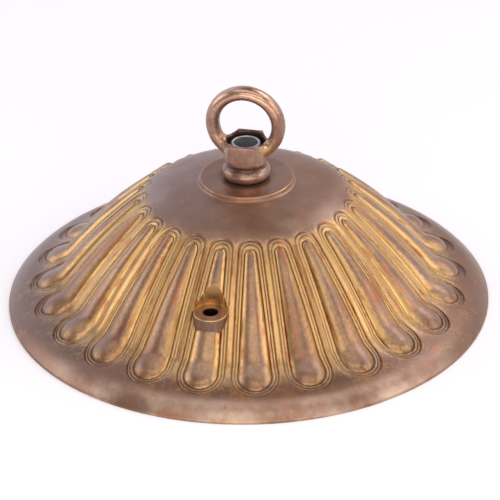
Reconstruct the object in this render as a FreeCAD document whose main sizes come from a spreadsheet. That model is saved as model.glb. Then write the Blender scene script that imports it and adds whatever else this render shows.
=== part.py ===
import FreeCAD, Part
import math
import os
import Sketcher

# A cast brass ceiling canopy with 24 tapering raised flutes. It stands on its rim, as it
# would against a ceiling turned over: +Z is the side that faces the room, the rim lies at
# Z = 0 and the hanging loop is screwed on at the middle. All sizes are millimetres.

doc = FreeCAD.newDocument("ceiling_canopy")
sizes = doc.addObject("Spreadsheet::Sheet", "Sizes")

drivingSizes = [
    # section of the shell, from the rim inwards, as widths and radii of tangent arcs
    ("rimRadius", 80.0),
    ("landHeight", 0.5),
    ("edgeWidth", 0.225),
    ("edgeRadius", 1.0),
    ("bandWidth", 6.775),
    ("bandRadius", 14.26),
    ("apronWidth", 9.4),
    ("apronRadius", 78.3),
    ("toeWidth", 3.3),
    ("toeRadius", 9.3),
    ("flankWidth", 22.8),
    ("flankRadius", 190.0),
    ("shoulderWidth", 10.5),
    ("shoulderRadius", 25.1),
    ("wallThickness", 3.4),
    # flutes, round the axis: each is a raised bead in a shallow recess with a round outline
    ("fluteCount", 24),
    ("recessDepth", 0.4),
    ("recessTopInset", 43.7),
    ("recessTopRadius", 4.0),
    ("recessTipInset", 14.8),
    ("recessTipRadius", 7.6),
    # the bead's round bars, two down the flank and one along the apron; each place is
    # measured from the section, each sink is the depth of the bar's axis
    ("fluteTopRadius", 2.5),
    ("fluteTopInset", 0.4),
    ("fluteTopSink", 1.8),
    ("fluteKneeInset", 31.0),
    ("fluteKneeRadius", 4.4),
    ("fluteKneeSink", 3.1),
    ("fluteToeRadius", 7.1),
    ("fluteToeInset", 5.31),
    ("fluteToeDrop", 2.36),
    ("fluteFootRadius", 6.6),
    ("fluteFootInset", 5.25),
    ("fluteFootDrop", 3.8),
    ("fluteEndRadius", 7.9),
    ("fluteEndInset", 10.3),
    ("fluteEndDrop", 3.3),
    ("hollowDepth", 8.0),
    # seat for the loop on the crown, and the flat for the nut inside
    ("seatRadius", 15.4),
    ("seatRise", 0.6),
    ("seatBevel", 0.3),
    ("seatFlare", 0.8),
    ("nutFlatRadius", 11.5),
    ("nippleClearance", 0.3),
    # two screw bosses in opposite flutes
    ("bossInset", 29.0),
    ("bossHeight", 22.45),
    ("bossRadius", 5.44),
    ("bossDepth", 8.0),
    ("screwHoleRadius", 2.4),
    ("backingWidth", 10.0),
    ("backingSink", 2.0),
    ("backingDepth", 4.0),
    ("backingUp", 7.0),
    ("backingDown", 3.0),
    # hanging loop
    ("eyeRadius", 10.9),
    ("eyeRise", 18.95),
    ("eyeThick", 4.5),
    ("eyeDeep", 6.0),
    ("hexAcross", 14.4),
    ("hexTrim", 6.9),
    ("hexBottom", 6.0),
    ("hexTop", 13.5),
    ("hexBevel", 1.4),
    ("mouthRadius", 6.0),
    ("mouthDepth", 3.2),
    ("collarRadius", 7.9),
    ("collarFoot", 6.6),
    ("collarBulge", 2.2),
    ("neckRadius", 6.3),
    ("neckHeight", 4.3),
    ("neckOverlap", 0.8),
    # threaded nipple, back washer and lock nut
    ("nippleRadius", 5.0),
    ("nippleBore", 4.0),
    ("nippleLength", 25.0),
    ("nippleBelowMouth", 1.1),
    ("nippleBevel", 0.35),
    ("washerRadius", 9.0),
    ("washerThick", 1.0),
    ("nutAcross", 14.0),
    ("nutThick", 4.0),
    ("nutBevel", 0.9),
]

start = {}
for row, (alias, value) in enumerate(drivingSizes, start=1):
    sizes.set("A%d" % row, alias)
    sizes.set("B%d" % row, str(value))
    sizes.setAlias("B%d" % row, alias)
    start[alias] = value
doc.recompute()


def originFeature(body, role):
    return next(item for item in body.Origin.OriginFeatures if item.Role == role)


def addBody(label):
    body = doc.addObject("PartDesign::Body", label)
    body.Label = label
    return body


def addSketch(body, name, role, height=None):
    # a sketch on one of the body's own origin planes, raised by an expression if given
    sketch = body.newObject("Sketcher::SketchObject", name)
    sketch.AttachmentSupport = [(originFeature(body, role), "")]
    sketch.MapMode = "FlatFace"
    if height:
        sketch.setExpression("AttachmentOffset.Base.z", height)
    return sketch


def dimension(sketch, kind, places, value, name, expression):
    # a named size in a sketch, bound to the sheet
    index = sketch.addConstraint(Sketcher.Constraint(kind, *places, value))
    sketch.renameConstraint(index, name)
    sketch.setExpression("Constraints." + name, expression)


def measured(sketch, kind, places, value, name):
    # a named size that the sketch reports and other features read
    index = sketch.addConstraint(Sketcher.Constraint(kind, *places, value))
    sketch.setDriving(index, False)
    sketch.renameConstraint(index, name)


def link(sketch, kind, *places):
    sketch.addConstraint(Sketcher.Constraint(kind, *places))


def point(x, y):
    return FreeCAD.Vector(x, y, 0)


def closedLines(sketch, corners):
    # straight sides round a list of corners, joined end to end
    count = len(corners)
    for index in range(count):
        sketch.addGeometry(Part.LineSegment(corners[index], corners[(index + 1) % count]))
    for index in range(count):
        link(sketch, "Coincident", index, 2, (index + 1) % count, 1)


def placeCorner(sketch, index, x, y, name, xExpression, yExpression):
    # ties the start of one side to the sketch's origin
    dimension(sketch, "DistanceX", (-1, 1, index, 1), x, name + "X", xExpression)
    dimension(sketch, "DistanceY", (-1, 1, index, 1), y, name + "Y", yExpression)


origin = (-1, 1)
upAxis = -2
flatAxis = -1

# The section's arcs from the rim inwards: name, and whether the arc bulges outwards.
sectionArcs = [
    ("edge", True),
    ("band", True),
    ("apron", False),
    ("toe", False),
    ("flank", True),
    ("shoulder", True),
]


def arcWords(name, bulges, depth):
    # radius and width of an arc, as numbers to start from and as expressions; depth names
    # the size by which the arc lies under the outer face
    radius = start[name + "Radius"]
    width = start[name + "Width"]
    radiusWords = "Sizes." + name + "Radius"
    widthWords = "Sizes." + name + "Width"
    if not depth:
        return radius, width, radiusWords, widthWords
    side = -1 if bulges else 1
    sign = "-" if bulges else "+"
    share = 1 + side * start[depth] / radius
    shareWords = "(1 %s Sizes.%s / Sizes.%sRadius)" % (sign, depth, name)
    return (radius * share, width * share,
            radiusWords + " * " + shareWords, widthWords + " * " + shareWords)


def drawChain(sketch, arcs, x, y, sine, depth=None):
    # arcs that run on smoothly from one another, from the rim to the crown and its top;
    # gives each arc's number and its ends, and the height of the top
    ends = {}
    previous = None
    for name, bulges in arcs:
        radius, width, radiusWords, widthWords = arcWords(name, bulges, depth)
        side = 1 if bulges else -1
        cosine = math.sqrt(1 - sine * sine)
        centre = point(x - side * radius * sine, y - side * radius * cosine)
        sineInward = sine - side * width / radius
        cosineInward = math.sqrt(1 - sineInward * sineInward)
        outer = math.atan2(side * cosine, side * sine)
        inner = math.atan2(side * cosineInward, side * sineInward)
        circle = Part.Circle(centre, FreeCAD.Vector(0, 0, 1), radius)
        angles = (outer, inner) if bulges else (inner, outer)
        number = sketch.addGeometry(Part.ArcOfCircle(circle, *angles))
        outerEnd, innerEnd = (1, 2) if bulges else (2, 1)
        ends[name] = (number, outerEnd, innerEnd)
        if previous:
            link(sketch, "Tangent", *previous, number, outerEnd)
        dimension(sketch, "Radius", (number,), radius, name + "Round", radiusWords)
        dimension(sketch, "DistanceX", (number, innerEnd, number, outerEnd), width,
                  name + "Span", widthWords)
        previous = (number, innerEnd)
        x = x - width
        y = centre.y + side * radius * cosineInward
        sine = sineInward
    crownRadius = x / sine
    crownBase = y - math.sqrt(crownRadius**2 - x**2)
    crown = Part.Circle(point(0, crownBase), FreeCAD.Vector(0, 0, 1), crownRadius)
    number = sketch.addGeometry(
        Part.ArcOfCircle(crown, math.acos(x / crownRadius), math.pi / 2))
    link(sketch, "Tangent", *previous, number, 1)
    link(sketch, "PointOnObject", number, 3, upAxis)
    ends["crown"] = (number, 1, 2)
    return ends, crownBase + crownRadius


def squareToFlank(sketch, flankNumber, inset, name):
    # a line square to the flank at a stated place, for what is measured along its slope
    flank = sketch.Geometry[flankNumber]
    place = start["rimRadius"] - start[inset]
    across = place - flank.Center.x
    up = math.sqrt(flank.Radius**2 - across**2)
    foot = point(place, flank.Center.y + up)
    line = sketch.addGeometry(Part.LineSegment(flank.Center, foot), True)
    link(sketch, "Coincident", line, 1, flankNumber, 3)
    link(sketch, "PointOnObject", line, 2, flankNumber)
    dimension(sketch, "DistanceX", (*origin, line, 2), place, name + "Out",
              "Sizes.rimRadius - Sizes." + inset)
    measured(sketch, "DistanceY", (*origin, line, 2), foot.y, name + "Flank")
    measured(sketch, "DistanceX", (line, 1, line, 2), across, name + "Lean")


def drawSection(sketch):
    # the solid dome from the rim to the axis
    rim = start["rimRadius"]
    land = start["landHeight"]
    landLine = sketch.addGeometry(Part.LineSegment(point(rim, 0), point(rim, land)))
    arcs, top = drawChain(sketch, sectionArcs, rim, land, 1.0)
    axisLine = sketch.addGeometry(Part.LineSegment(point(0, top), point(0, 0)))
    baseLine = sketch.addGeometry(Part.LineSegment(point(0, 0), point(rim, 0)))

    link(sketch, "Vertical", landLine)
    link(sketch, "Coincident", axisLine, 2, *origin)
    link(sketch, "PointOnObject", axisLine, 1, upAxis)
    link(sketch, "Coincident", baseLine, 1, *origin)
    link(sketch, "Coincident", baseLine, 2, landLine, 1)
    link(sketch, "PointOnObject", landLine, 1, flatAxis)
    link(sketch, "Tangent", landLine, 2, arcs["edge"][0], 1)
    link(sketch, "Coincident", arcs["crown"][0], 2, axisLine, 1)
    dimension(sketch, "DistanceX", (*origin, landLine, 1), rim, "rim", "Sizes.rimRadius")
    dimension(sketch, "DistanceY", (landLine, 1, landLine, 2), land, "land", "Sizes.landHeight")

    flankNumber = arcs["flank"][0]
    squareToFlank(sketch, flankNumber, "bossInset", "boss")
    squareToFlank(sketch, flankNumber, "fluteKneeInset", "knee")

    # heights and places that the other features take from the section
    measured(sketch, "DistanceY", (*origin, axisLine, 1), top, "crownTop")
    marks = {
        "tip": (arcs["band"][0], arcs["band"][2]),
        "toe": (arcs["toe"][0], arcs["toe"][2]),
        "shoulder": (flankNumber, arcs["flank"][2]),
        "bandCentre": (arcs["band"][0], 3),
    }
    for name, place in marks.items():
        measured(sketch, "DistanceX", (*origin, *place), rim, name + "Out")
        measured(sketch, "DistanceY", (*origin, *place), land, name + "Up")


def drawUnder(sketch, depth):
    # all that lies deeper than a named size under the outer face, to below the rim's plane
    edgeSine = 1 - start["edgeWidth"] / start["edgeRadius"]
    edgeCosine = math.sqrt(1 - edgeSine * edgeSine)
    under = start[depth]
    low = -start["hollowDepth"]
    footX = start["rimRadius"] - start["edgeWidth"] - under * edgeSine
    footY = start["landHeight"] + (start["edgeRadius"] - under) * edgeCosine
    arcs, roof = drawChain(sketch, sectionArcs[1:], footX, footY, edgeSine, depth)
    axisLine = sketch.addGeometry(Part.LineSegment(point(0, roof), point(0, low)))
    baseLine = sketch.addGeometry(Part.LineSegment(point(0, low), point(footX, low)))
    footLine = sketch.addGeometry(Part.LineSegment(point(footX, low), point(footX, footY)))

    link(sketch, "PointOnObject", axisLine, 1, upAxis)
    link(sketch, "PointOnObject", axisLine, 2, upAxis)
    link(sketch, "Coincident", axisLine, 2, baseLine, 1)
    link(sketch, "Coincident", baseLine, 2, footLine, 1)
    link(sketch, "Horizontal", baseLine)
    link(sketch, "Vertical", footLine)
    link(sketch, "Coincident", arcs["crown"][0], 2, axisLine, 1)
    link(sketch, "Coincident", arcs["band"][0], 1, footLine, 2)
    dimension(sketch, "DistanceX", (*origin, footLine, 2), footX, "foot",
              "Sizes.rimRadius - Sizes.edgeWidth"
              " - Sizes.%s * (1 - Sizes.edgeWidth / Sizes.edgeRadius)" % depth)
    dimension(sketch, "DistanceY", (axisLine, 2, *origin), -low, "below", "Sizes.hollowDepth")
    for axis, kind in (("Out", "DistanceX"), ("Up", "DistanceY")):
        dimension(sketch, kind, (*origin, arcs["band"][0], 3), value("bandCentre" + axis),
                  "centre" + axis, "ShellSection.Constraints.bandCentre" + axis)
    measured(sketch, "DistanceY", (*origin, axisLine, 1), roof, "roofTop")
    return arcs["crown"][0]


def addRevolved(body, kind, name, profile, axis):
    feature = body.newObject(kind, name)
    feature.Profile = profile
    feature.ReferenceAxis = axis
    feature.Angle = 360
    return feature


def addPad(body, name, profile, length, downwards):
    pad = body.newObject("PartDesign::Pad", name)
    pad.Profile = profile
    pad.Reversed = downwards
    pad.setExpression("Length", length)
    return pad


def addPocket(body, name, profile, length, upwards):
    pocket = body.newObject("PartDesign::Pocket", name)
    pocket.Profile = profile
    pocket.Reversed = upwards
    pocket.setExpression("Length", length)
    return pocket


def addPattern(body, name, originals, count):
    pattern = body.newObject("PartDesign::PolarPattern", name)
    pattern.Originals = originals
    pattern.Axis = (originFeature(body, "Z_Axis"), [""])
    pattern.Angle = 360
    if isinstance(count, str):
        pattern.setExpression("Occurrences", count)
    else:
        pattern.Occurrences = count
    body.Tip = pattern
    return pattern


shell = addBody("canopy_shell")
section = addSketch(shell, "ShellSection", "XZ_Plane")
drawSection(section)
doc.recompute()
addRevolved(shell, "PartDesign::Revolution", "Dome", section,
                   (originFeature(shell, "Z_Axis"), [""]))
doc.recompute()


def value(name):
    return section.getDatum(name).Value


def drawOutline(sketch):
    # a tapering outline with round ends, its middle line down the second axis
    rim = start["rimRadius"]
    topPlace = rim - start["recessTopInset"]
    tipPlace = rim - start["recessTipInset"]
    topRadius = start["recessTopRadius"]
    tipRadius = start["recessTipRadius"]
    tilt = math.asin((tipRadius - topRadius) / (tipPlace - topPlace))
    upright = FreeCAD.Vector(0, 0, 1)
    topCircle = Part.Circle(point(0, topPlace), upright, topRadius)
    tipCircle = Part.Circle(point(0, tipPlace), upright, tipRadius)
    sideways = point(math.cos(tilt), -math.sin(tilt))
    otherWay = point(-math.cos(tilt), -math.sin(tilt))
    sketch.addGeometry(Part.ArcOfCircle(topCircle, math.pi + tilt, 2 * math.pi - tilt))
    sketch.addGeometry(Part.LineSegment(point(0, topPlace) + sideways * topRadius,
                                        point(0, tipPlace) + sideways * tipRadius))
    sketch.addGeometry(Part.ArcOfCircle(tipCircle, -tilt, math.pi + tilt))
    sketch.addGeometry(Part.LineSegment(point(0, tipPlace) + otherWay * tipRadius,
                                        point(0, topPlace) + otherWay * topRadius))
    link(sketch, "Tangent", 0, 2, 1, 1)
    link(sketch, "Tangent", 1, 2, 2, 1)
    link(sketch, "Tangent", 2, 2, 3, 1)
    link(sketch, "Tangent", 3, 2, 0, 1)
    for number, end, place, radius in ((0, "Top", topPlace, topRadius),
                                       (2, "Tip", tipPlace, tipRadius)):
        link(sketch, "PointOnObject", number, 3, upAxis)
        dimension(sketch, "DistanceY", (*origin, number, 3), place, "end" + end,
                  "Sizes.rimRadius - Sizes.recess%sInset" % end)
        dimension(sketch, "Radius", (number,), radius, "round" + end,
                  "Sizes.recess%sRadius" % end)


# the recesses round the beads: upright blocks, pared down to a skin of even depth under the
# dome's face, and taken out of the dome
recess = addBody("flute_recess")
outlineSketch = addSketch(recess, "RecessOutline", "XY_Plane")
drawOutline(outlineSketch)
addPad(recess, "RecessBlock", outlineSketch, "ShellSection.Constraints.crownTop", False)
doc.recompute()
addPattern(recess, "RecessBlocks", [recess.Tip], "Sizes.fluteCount")
underSketch = addSketch(recess, "RecessFloor", "XZ_Plane")
drawUnder(underSketch, "recessDepth")
doc.recompute()
addRevolved(recess, "PartDesign::Groove", "RecessSkin", underSketch,
            (originFeature(recess, "Z_Axis"), [""]))
doc.recompute()
recesses = shell.newObject("PartDesign::Boolean", "Recesses")
recesses.Type = "Cut"
recesses.setObjects([recess])
shell.Tip = recesses
doc.recompute()


def squareWords(name):
    # expressions for how far the flank leans at a marked place, and how upright it is
    lean = "(ShellSection.Constraints.%sLean / Sizes.flankRadius / 1 mm)" % name
    return lean, "sqrt(1 - %s ^ 2)" % lean


def alongFlank(name, down, out):
    # a point near a marked place, measured down the slope and square to it from the surface
    lean = value(name + "Lean") / start["flankRadius"]
    level = math.sqrt(1 - lean * lean)
    x = value(name + "Out") + down * level + out * lean
    y = value(name + "Flank") - down * lean + out * level
    return x, y


def alongFlankWords(name, down, out):
    lean, level = squareWords(name)
    xWords = ("ShellSection.Constraints.%sOut + ((%s) * %s + (%s) * %s) * 1 mm"
              % (name, down, level, out, lean))
    yWords = ("ShellSection.Constraints.%sFlank + (-(%s) * %s + (%s) * %s) * 1 mm"
              % (name, down, lean, out, level))
    return xWords, yWords


def fromMark(mark, inward, lift):
    # a place measured inwards and upwards from one of the section's marks; the values are
    # given as a sign and the name of a size
    def words(axis, sign, size):
        return "ShellSection.Constraints.%s%s %s Sizes.%s * 1 mm" % (mark, axis, sign, size)

    def number(axis, sign, size):
        return value(mark + axis) + (start[size] if sign == "+" else -start[size])

    return (number("Out", *inward), number("Up", *lift),
            words("Out", *inward), words("Up", *lift))


def addBar(name, first, second):
    # a round bar with a ball at each end, turned about the line between the balls' centres;
    # each end is x, y, their expressions and the name of the ball's radius
    sketch = addSketch(shell, name + "Outline", "XZ_Plane")
    firstCentre = point(*first[:2])
    secondCentre = point(*second[:2])
    firstRadius = start[first[4]]
    secondRadius = start[second[4]]
    along = (secondCentre - firstCentre).normalize()
    tilt = math.asin((secondRadius - firstRadius) / (secondCentre - firstCentre).Length)
    square = point(-along.y, along.x)
    outward = square * math.cos(tilt) - along * math.sin(tilt)
    back = math.atan2(-along.y, -along.x)
    touch = math.atan2(outward.y, outward.x)
    ahead = math.atan2(along.y, along.x)
    upright = FreeCAD.Vector(0, 0, 1)
    firstBall = Part.Circle(firstCentre, upright, firstRadius)
    secondBall = Part.Circle(secondCentre, upright, secondRadius)
    sketch.addGeometry(Part.ArcOfCircle(firstBall, touch, back))
    sketch.addGeometry(Part.LineSegment(firstCentre + outward * firstRadius,
                                        secondCentre + outward * secondRadius))
    sketch.addGeometry(Part.ArcOfCircle(secondBall, ahead, touch))
    sketch.addGeometry(Part.LineSegment(secondCentre + along * secondRadius,
                                        firstCentre - along * firstRadius))
    sketch.addGeometry(Part.LineSegment(firstCentre, secondCentre), True)
    link(sketch, "Tangent", 0, 1, 1, 1)
    link(sketch, "Tangent", 1, 2, 2, 2)
    link(sketch, "Coincident", 2, 1, 3, 1)
    link(sketch, "Coincident", 3, 2, 0, 2)
    link(sketch, "PointOnObject", 0, 3, 3)
    link(sketch, "PointOnObject", 2, 3, 3)
    link(sketch, "Coincident", 4, 1, 0, 3)
    link(sketch, "Coincident", 4, 2, 2, 3)
    for number, end, label in ((0, first, "first"), (2, second, "second")):
        x, y, xWords, yWords, radius = end
        dimension(sketch, "Radius", (number,), start[radius], label + "Ball", "Sizes." + radius)
        dimension(sketch, "DistanceX", (*origin, number, 3), x, label + "Out", xWords)
        dimension(sketch, "DistanceY", (*origin, number, 3), y, label + "Up", yWords)
    doc.recompute()
    return addRevolved(shell, "PartDesign::Revolution", name, sketch, (sketch, ["Axis0"]))


# one raised flute: two bars that follow the flank's curve and one that lies on the apron,
# with a valley between the flank and the apron as in the casting
topEnd = fromMark("shoulder", ("-", "fluteTopInset"), ("-", "fluteTopSink"))
kneeEnd = (*alongFlank("knee", 0, -start["fluteKneeSink"]),
           *alongFlankWords("knee", "0", "-Sizes.fluteKneeSink"))
toeEnd = fromMark("toe", ("-", "fluteToeInset"), ("-", "fluteToeDrop"))
footEnd = fromMark("toe", ("-", "fluteFootInset"), ("-", "fluteFootDrop"))
tipEnd = fromMark("tip", ("-", "fluteEndInset"), ("-", "fluteEndDrop"))
bars = [
    addBar("FluteTop", (*topEnd, "fluteTopRadius"), (*kneeEnd, "fluteKneeRadius")),
    addBar("FluteFlank", (*kneeEnd, "fluteKneeRadius"), (*toeEnd, "fluteToeRadius")),
    addBar("FluteFoot", (*footEnd, "fluteFootRadius"), (*tipEnd, "fluteEndRadius")),
]
addPattern(shell, "Flutes", bars, "Sizes.fluteCount")
doc.recompute()

# the inside, cut after the flutes so that the bars' undersides go with it
hollowSketch = addSketch(shell, "HollowSection", "XZ_Plane")
roofArc = drawUnder(hollowSketch, "wallThickness")
flatEdge = hollowSketch.addGeometry(Part.Point(point(start["nutFlatRadius"], value("crownTop"))))
link(hollowSketch, "PointOnObject", flatEdge, 1, roofArc)
dimension(hollowSketch, "DistanceX", (*origin, flatEdge, 1), start["nutFlatRadius"], "flatOut",
          "Sizes.nutFlatRadius")
doc.recompute()
measured(hollowSketch, "DistanceY", (*origin, flatEdge, 1), value("crownTop"), "flatUp")
doc.recompute()
addRevolved(shell, "PartDesign::Groove", "Hollow", hollowSketch,
            (originFeature(shell, "Z_Axis"), [""]))
doc.recompute()
roofTop = hollowSketch.getDatum("roofTop").Value
roofWords = "HollowSection.Constraints.roofTop"


def drawSeat(sketch):
    # machined seat on the crown, with a flared foot
    top = value("crownTop") + start["seatRise"]
    deep = roofTop + start["wallThickness"] / 2
    radius = start["seatRadius"]
    bevel = start["seatBevel"]
    flare = start["seatFlare"]
    shoulder = value("crownTop") - flare
    closedLines(sketch, [
        point(0, deep),
        point(radius + flare, deep),
        point(radius + flare, shoulder - flare),
        point(radius, shoulder),
        point(radius, top - bevel),
        point(radius - bevel, top),
        point(0, top),
    ])
    crown = "ShellSection.Constraints.crownTop"
    outX = "Sizes.seatRadius + Sizes.seatFlare"
    deepY = "HollowSection.Constraints.roofTop + Sizes.wallThickness / 2 * 1 mm"
    placeCorner(sketch, 0, 0, deep, "axisFoot", "0", deepY)
    placeCorner(sketch, 1, radius + flare, deep, "foot", outX, deepY)
    placeCorner(sketch, 2, radius + flare, shoulder - flare, "flareFoot", outX,
                crown + " - 2 * Sizes.seatFlare * 1 mm")
    placeCorner(sketch, 3, radius, shoulder, "flareTop", "Sizes.seatRadius",
                crown + " - Sizes.seatFlare * 1 mm")
    placeCorner(sketch, 4, radius, top - bevel, "side", "Sizes.seatRadius",
                crown + " + (Sizes.seatRise - Sizes.seatBevel) * 1 mm")
    placeCorner(sketch, 5, radius - bevel, top, "rim", "Sizes.seatRadius - Sizes.seatBevel",
                crown + " + Sizes.seatRise * 1 mm")
    placeCorner(sketch, 6, 0, top, "axisTop", "0", crown + " + Sizes.seatRise * 1 mm")


seatSketch = addSketch(shell, "SeatSection", "XZ_Plane")
drawSeat(seatSketch)
doc.recompute()
addRevolved(shell, "PartDesign::Revolution", "Seat", seatSketch,
                   (originFeature(shell, "Z_Axis"), [""]))


def drawCircle(sketch, x, y, radius, xExpression, yExpression, radiusExpression):
    number = sketch.addGeometry(
        Part.Circle(point(x, y), FreeCAD.Vector(0, 0, 1), radius))
    name = "circle%d" % number
    if xExpression:
        dimension(sketch, "DistanceX", (*origin, number, 3), x, name + "X", xExpression)
    else:
        link(sketch, "PointOnObject", number, 3, upAxis)
    if yExpression:
        dimension(sketch, "DistanceY", (*origin, number, 3), y, name + "Y", yExpression)
    else:
        link(sketch, "PointOnObject", number, 3, flatAxis)
    dimension(sketch, "Radius", (number,), radius, name + "Round", radiusExpression)


# flat for the washer under the crown
nutFlatSketch = addSketch(shell, "NutFlatCircle", "XY_Plane", "HollowSection.Constraints.flatUp")
drawCircle(nutFlatSketch, 0, 0, start["nutFlatRadius"], None, None, "Sizes.nutFlatRadius")
addPad(shell, "NutFlat", nutFlatSketch,
       "HollowSection.Constraints.roofTop - HollowSection.Constraints.flatUp"
       " + Sizes.wallThickness / 2 * 1 mm", False)
doc.recompute()

nippleHoleSketch = addSketch(shell, "NippleHoleCircle", "XY_Plane")
drawCircle(nippleHoleSketch, 0, 0, start["nippleRadius"] + start["nippleClearance"], None, None,
           "Sizes.nippleRadius + Sizes.nippleClearance")
addPocket(shell, "NippleHole", nippleHoleSketch,
                       "ShellSection.Constraints.crownTop + 2 * Sizes.seatRise * 1 mm", True)
doc.recompute()


def drawAlongFlank(sketch, corners):
    # a closed outline beside the boss; each corner is a pair of numbers and a pair of
    # expressions, measured down the slope and square to it
    places = [alongFlank("boss", down, out) for down, out, _, _ in corners]
    closedLines(sketch, [point(x, y) for x, y in places])
    for number, (_, _, downWords, outWords) in enumerate(corners):
        words = alongFlankWords("boss", downWords, outWords)
        placeCorner(sketch, number, *places[number], "corner%d" % number, *words)


# thickening inside the wall, behind the spot face
backingSketch = addSketch(shell, "BackingSection", "YZ_Plane")
backingTop = -start["backingSink"]
backingFoot = backingTop - start["backingDepth"]
topWords = "-Sizes.backingSink"
footWords = "-Sizes.backingSink - Sizes.backingDepth"
drawAlongFlank(backingSketch, [
    (-start["backingUp"], backingTop, "-Sizes.backingUp", topWords),
    (-start["backingUp"], backingFoot, "-Sizes.backingUp", footWords),
    (start["backingDown"], backingFoot, "Sizes.backingDown", footWords),
    (start["backingDown"], backingTop, "Sizes.backingDown", topWords),
])
backing = shell.newObject("PartDesign::Pad", "Backing")
backing.Profile = backingSketch
backing.SideType = "Symmetric"
backing.setExpression("Length", "Sizes.backingWidth")

# upright boss, spot-faced from above, with the screw hole through it
bossWords = "ShellSection.Constraints.bossOut"
bossSketch = addSketch(shell, "BossCircle", "XY_Plane", "Sizes.bossHeight * 1 mm")
drawCircle(bossSketch, 0, value("bossOut"), start["bossRadius"], None, bossWords,
           "Sizes.bossRadius")
boss = addPad(shell, "Boss", bossSketch, "Sizes.bossDepth", True)
spotSketch = addSketch(shell, "SpotCircle", "XY_Plane", "Sizes.bossHeight * 1 mm")
drawCircle(spotSketch, 0, value("bossOut"), start["bossRadius"], None, bossWords,
           "Sizes.bossRadius")
spotFace = addPocket(shell, "SpotFace", spotSketch, "ShellSection.Constraints.crownTop", True)
screwSketch = addSketch(shell, "ScrewCircle", "XY_Plane")
drawCircle(screwSketch, 0, value("bossOut"), start["screwHoleRadius"], None, bossWords,
           "Sizes.screwHoleRadius")
screwHole = addPocket(shell, "ScrewHole", screwSketch, "ShellSection.Constraints.crownTop", True)
addPattern(shell, "OppositeBosses", [backing, boss, spotFace, screwHole], 2)
doc.recompute()

seatWords = "(ShellSection.Constraints.crownTop + Sizes.seatRise * 1 mm)"


def hexagon(sketch, across, acrossWords):
    # a hexagon about the origin with two flats square to the sketch's second axis
    corner = across / math.sqrt(3)
    turns = [math.radians(60 * number) for number in range(6)]
    closedLines(sketch, [point(corner * math.cos(turn), corner * math.sin(turn)) for turn in turns])
    circle = sketch.addGeometry(
        Part.Circle(point(0, 0), FreeCAD.Vector(0, 0, 1), corner), True)
    link(sketch, "Coincident", circle, 3, *origin)
    for number in range(6):
        link(sketch, "PointOnObject", number, 1, circle)
    for number in range(5):
        link(sketch, "Equal", number, number + 1)
    link(sketch, "PointOnObject", 0, 1, flatAxis)
    dimension(sketch, "Radius", (circle,), corner, "corner", acrossWords + " / sqrt(3)")


def addCornerBevel(body, name, across, rise, base=None):
    # a cone that takes the corners off a hexagon's lower face; base names its height
    sketch = addSketch(body, name + "Section", "XZ_Plane")
    low = start[base] if base else 0
    lowWords = "Sizes." + base if base else "0"
    flat = start[across] / 2
    corner = start[across] / math.sqrt(3)
    high = low + start[rise]
    closedLines(sketch, [point(flat, low), point(corner, low), point(corner, high)])
    flatWords = "Sizes.%s / 2" % across
    cornerWords = "Sizes.%s / sqrt(3)" % across
    placeCorner(sketch, 0, flat, low, "flat", flatWords, lowWords)
    placeCorner(sketch, 1, corner, low, "corner", cornerWords, lowWords)
    placeCorner(sketch, 2, corner, high, "rise", cornerWords, lowWords + " + Sizes." + rise)
    addRevolved(body, "PartDesign::Groove", name, sketch, (originFeature(body, "Z_Axis"), [""]))


def drawLoopBlock(sketch):
    # a hexagon with two flats across Y, its corners under the eye's arms cut off square
    across = start["hexAcross"]
    trim = start["hexTrim"]
    side = across / math.sqrt(3) / 2
    sideWords = "Sizes.hexAcross / sqrt(3) / 2"
    cut = across - math.sqrt(3) * trim
    cutWords = "(Sizes.hexAcross - sqrt(3) * Sizes.hexTrim)"
    quarter = [(trim, cut, "Sizes.hexTrim", cutWords),
               (side, across / 2, sideWords, "Sizes.hexAcross / 2")]
    corners = []
    for sideways, up, order in ((1, 1, 1), (-1, 1, -1), (-1, -1, 1), (1, -1, -1)):
        signs = ("" if sideways > 0 else "-", "" if up > 0 else "-")
        for x, y, xWords, yWords in quarter[::order]:
            corners.append((sideways * x, up * y, signs[0] + xWords, signs[1] + yWords))
    closedLines(sketch, [point(x, y) for x, y, _, _ in corners])
    for number, (x, y, xWords, yWords) in enumerate(corners):
        placeCorner(sketch, number, x, y, "corner%d" % number, xWords, yWords)


loop = addBody("hanging_loop")
loop.setExpression("Placement.Base.z", seatWords)

blockSketch = addSketch(loop, "BlockOutline", "XY_Plane", "Sizes.hexBottom * 1 mm")
drawLoopBlock(blockSketch)
addPad(loop, "Block", blockSketch, "Sizes.hexTop - Sizes.hexBottom", False)
doc.recompute()
addCornerBevel(loop, "BlockBevel", "hexAcross", "hexBevel", "hexBottom")

# collar: a swelling foot that narrows to a neck under the hexagon
collarSketch = addSketch(loop, "CollarSection", "XZ_Plane")


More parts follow.
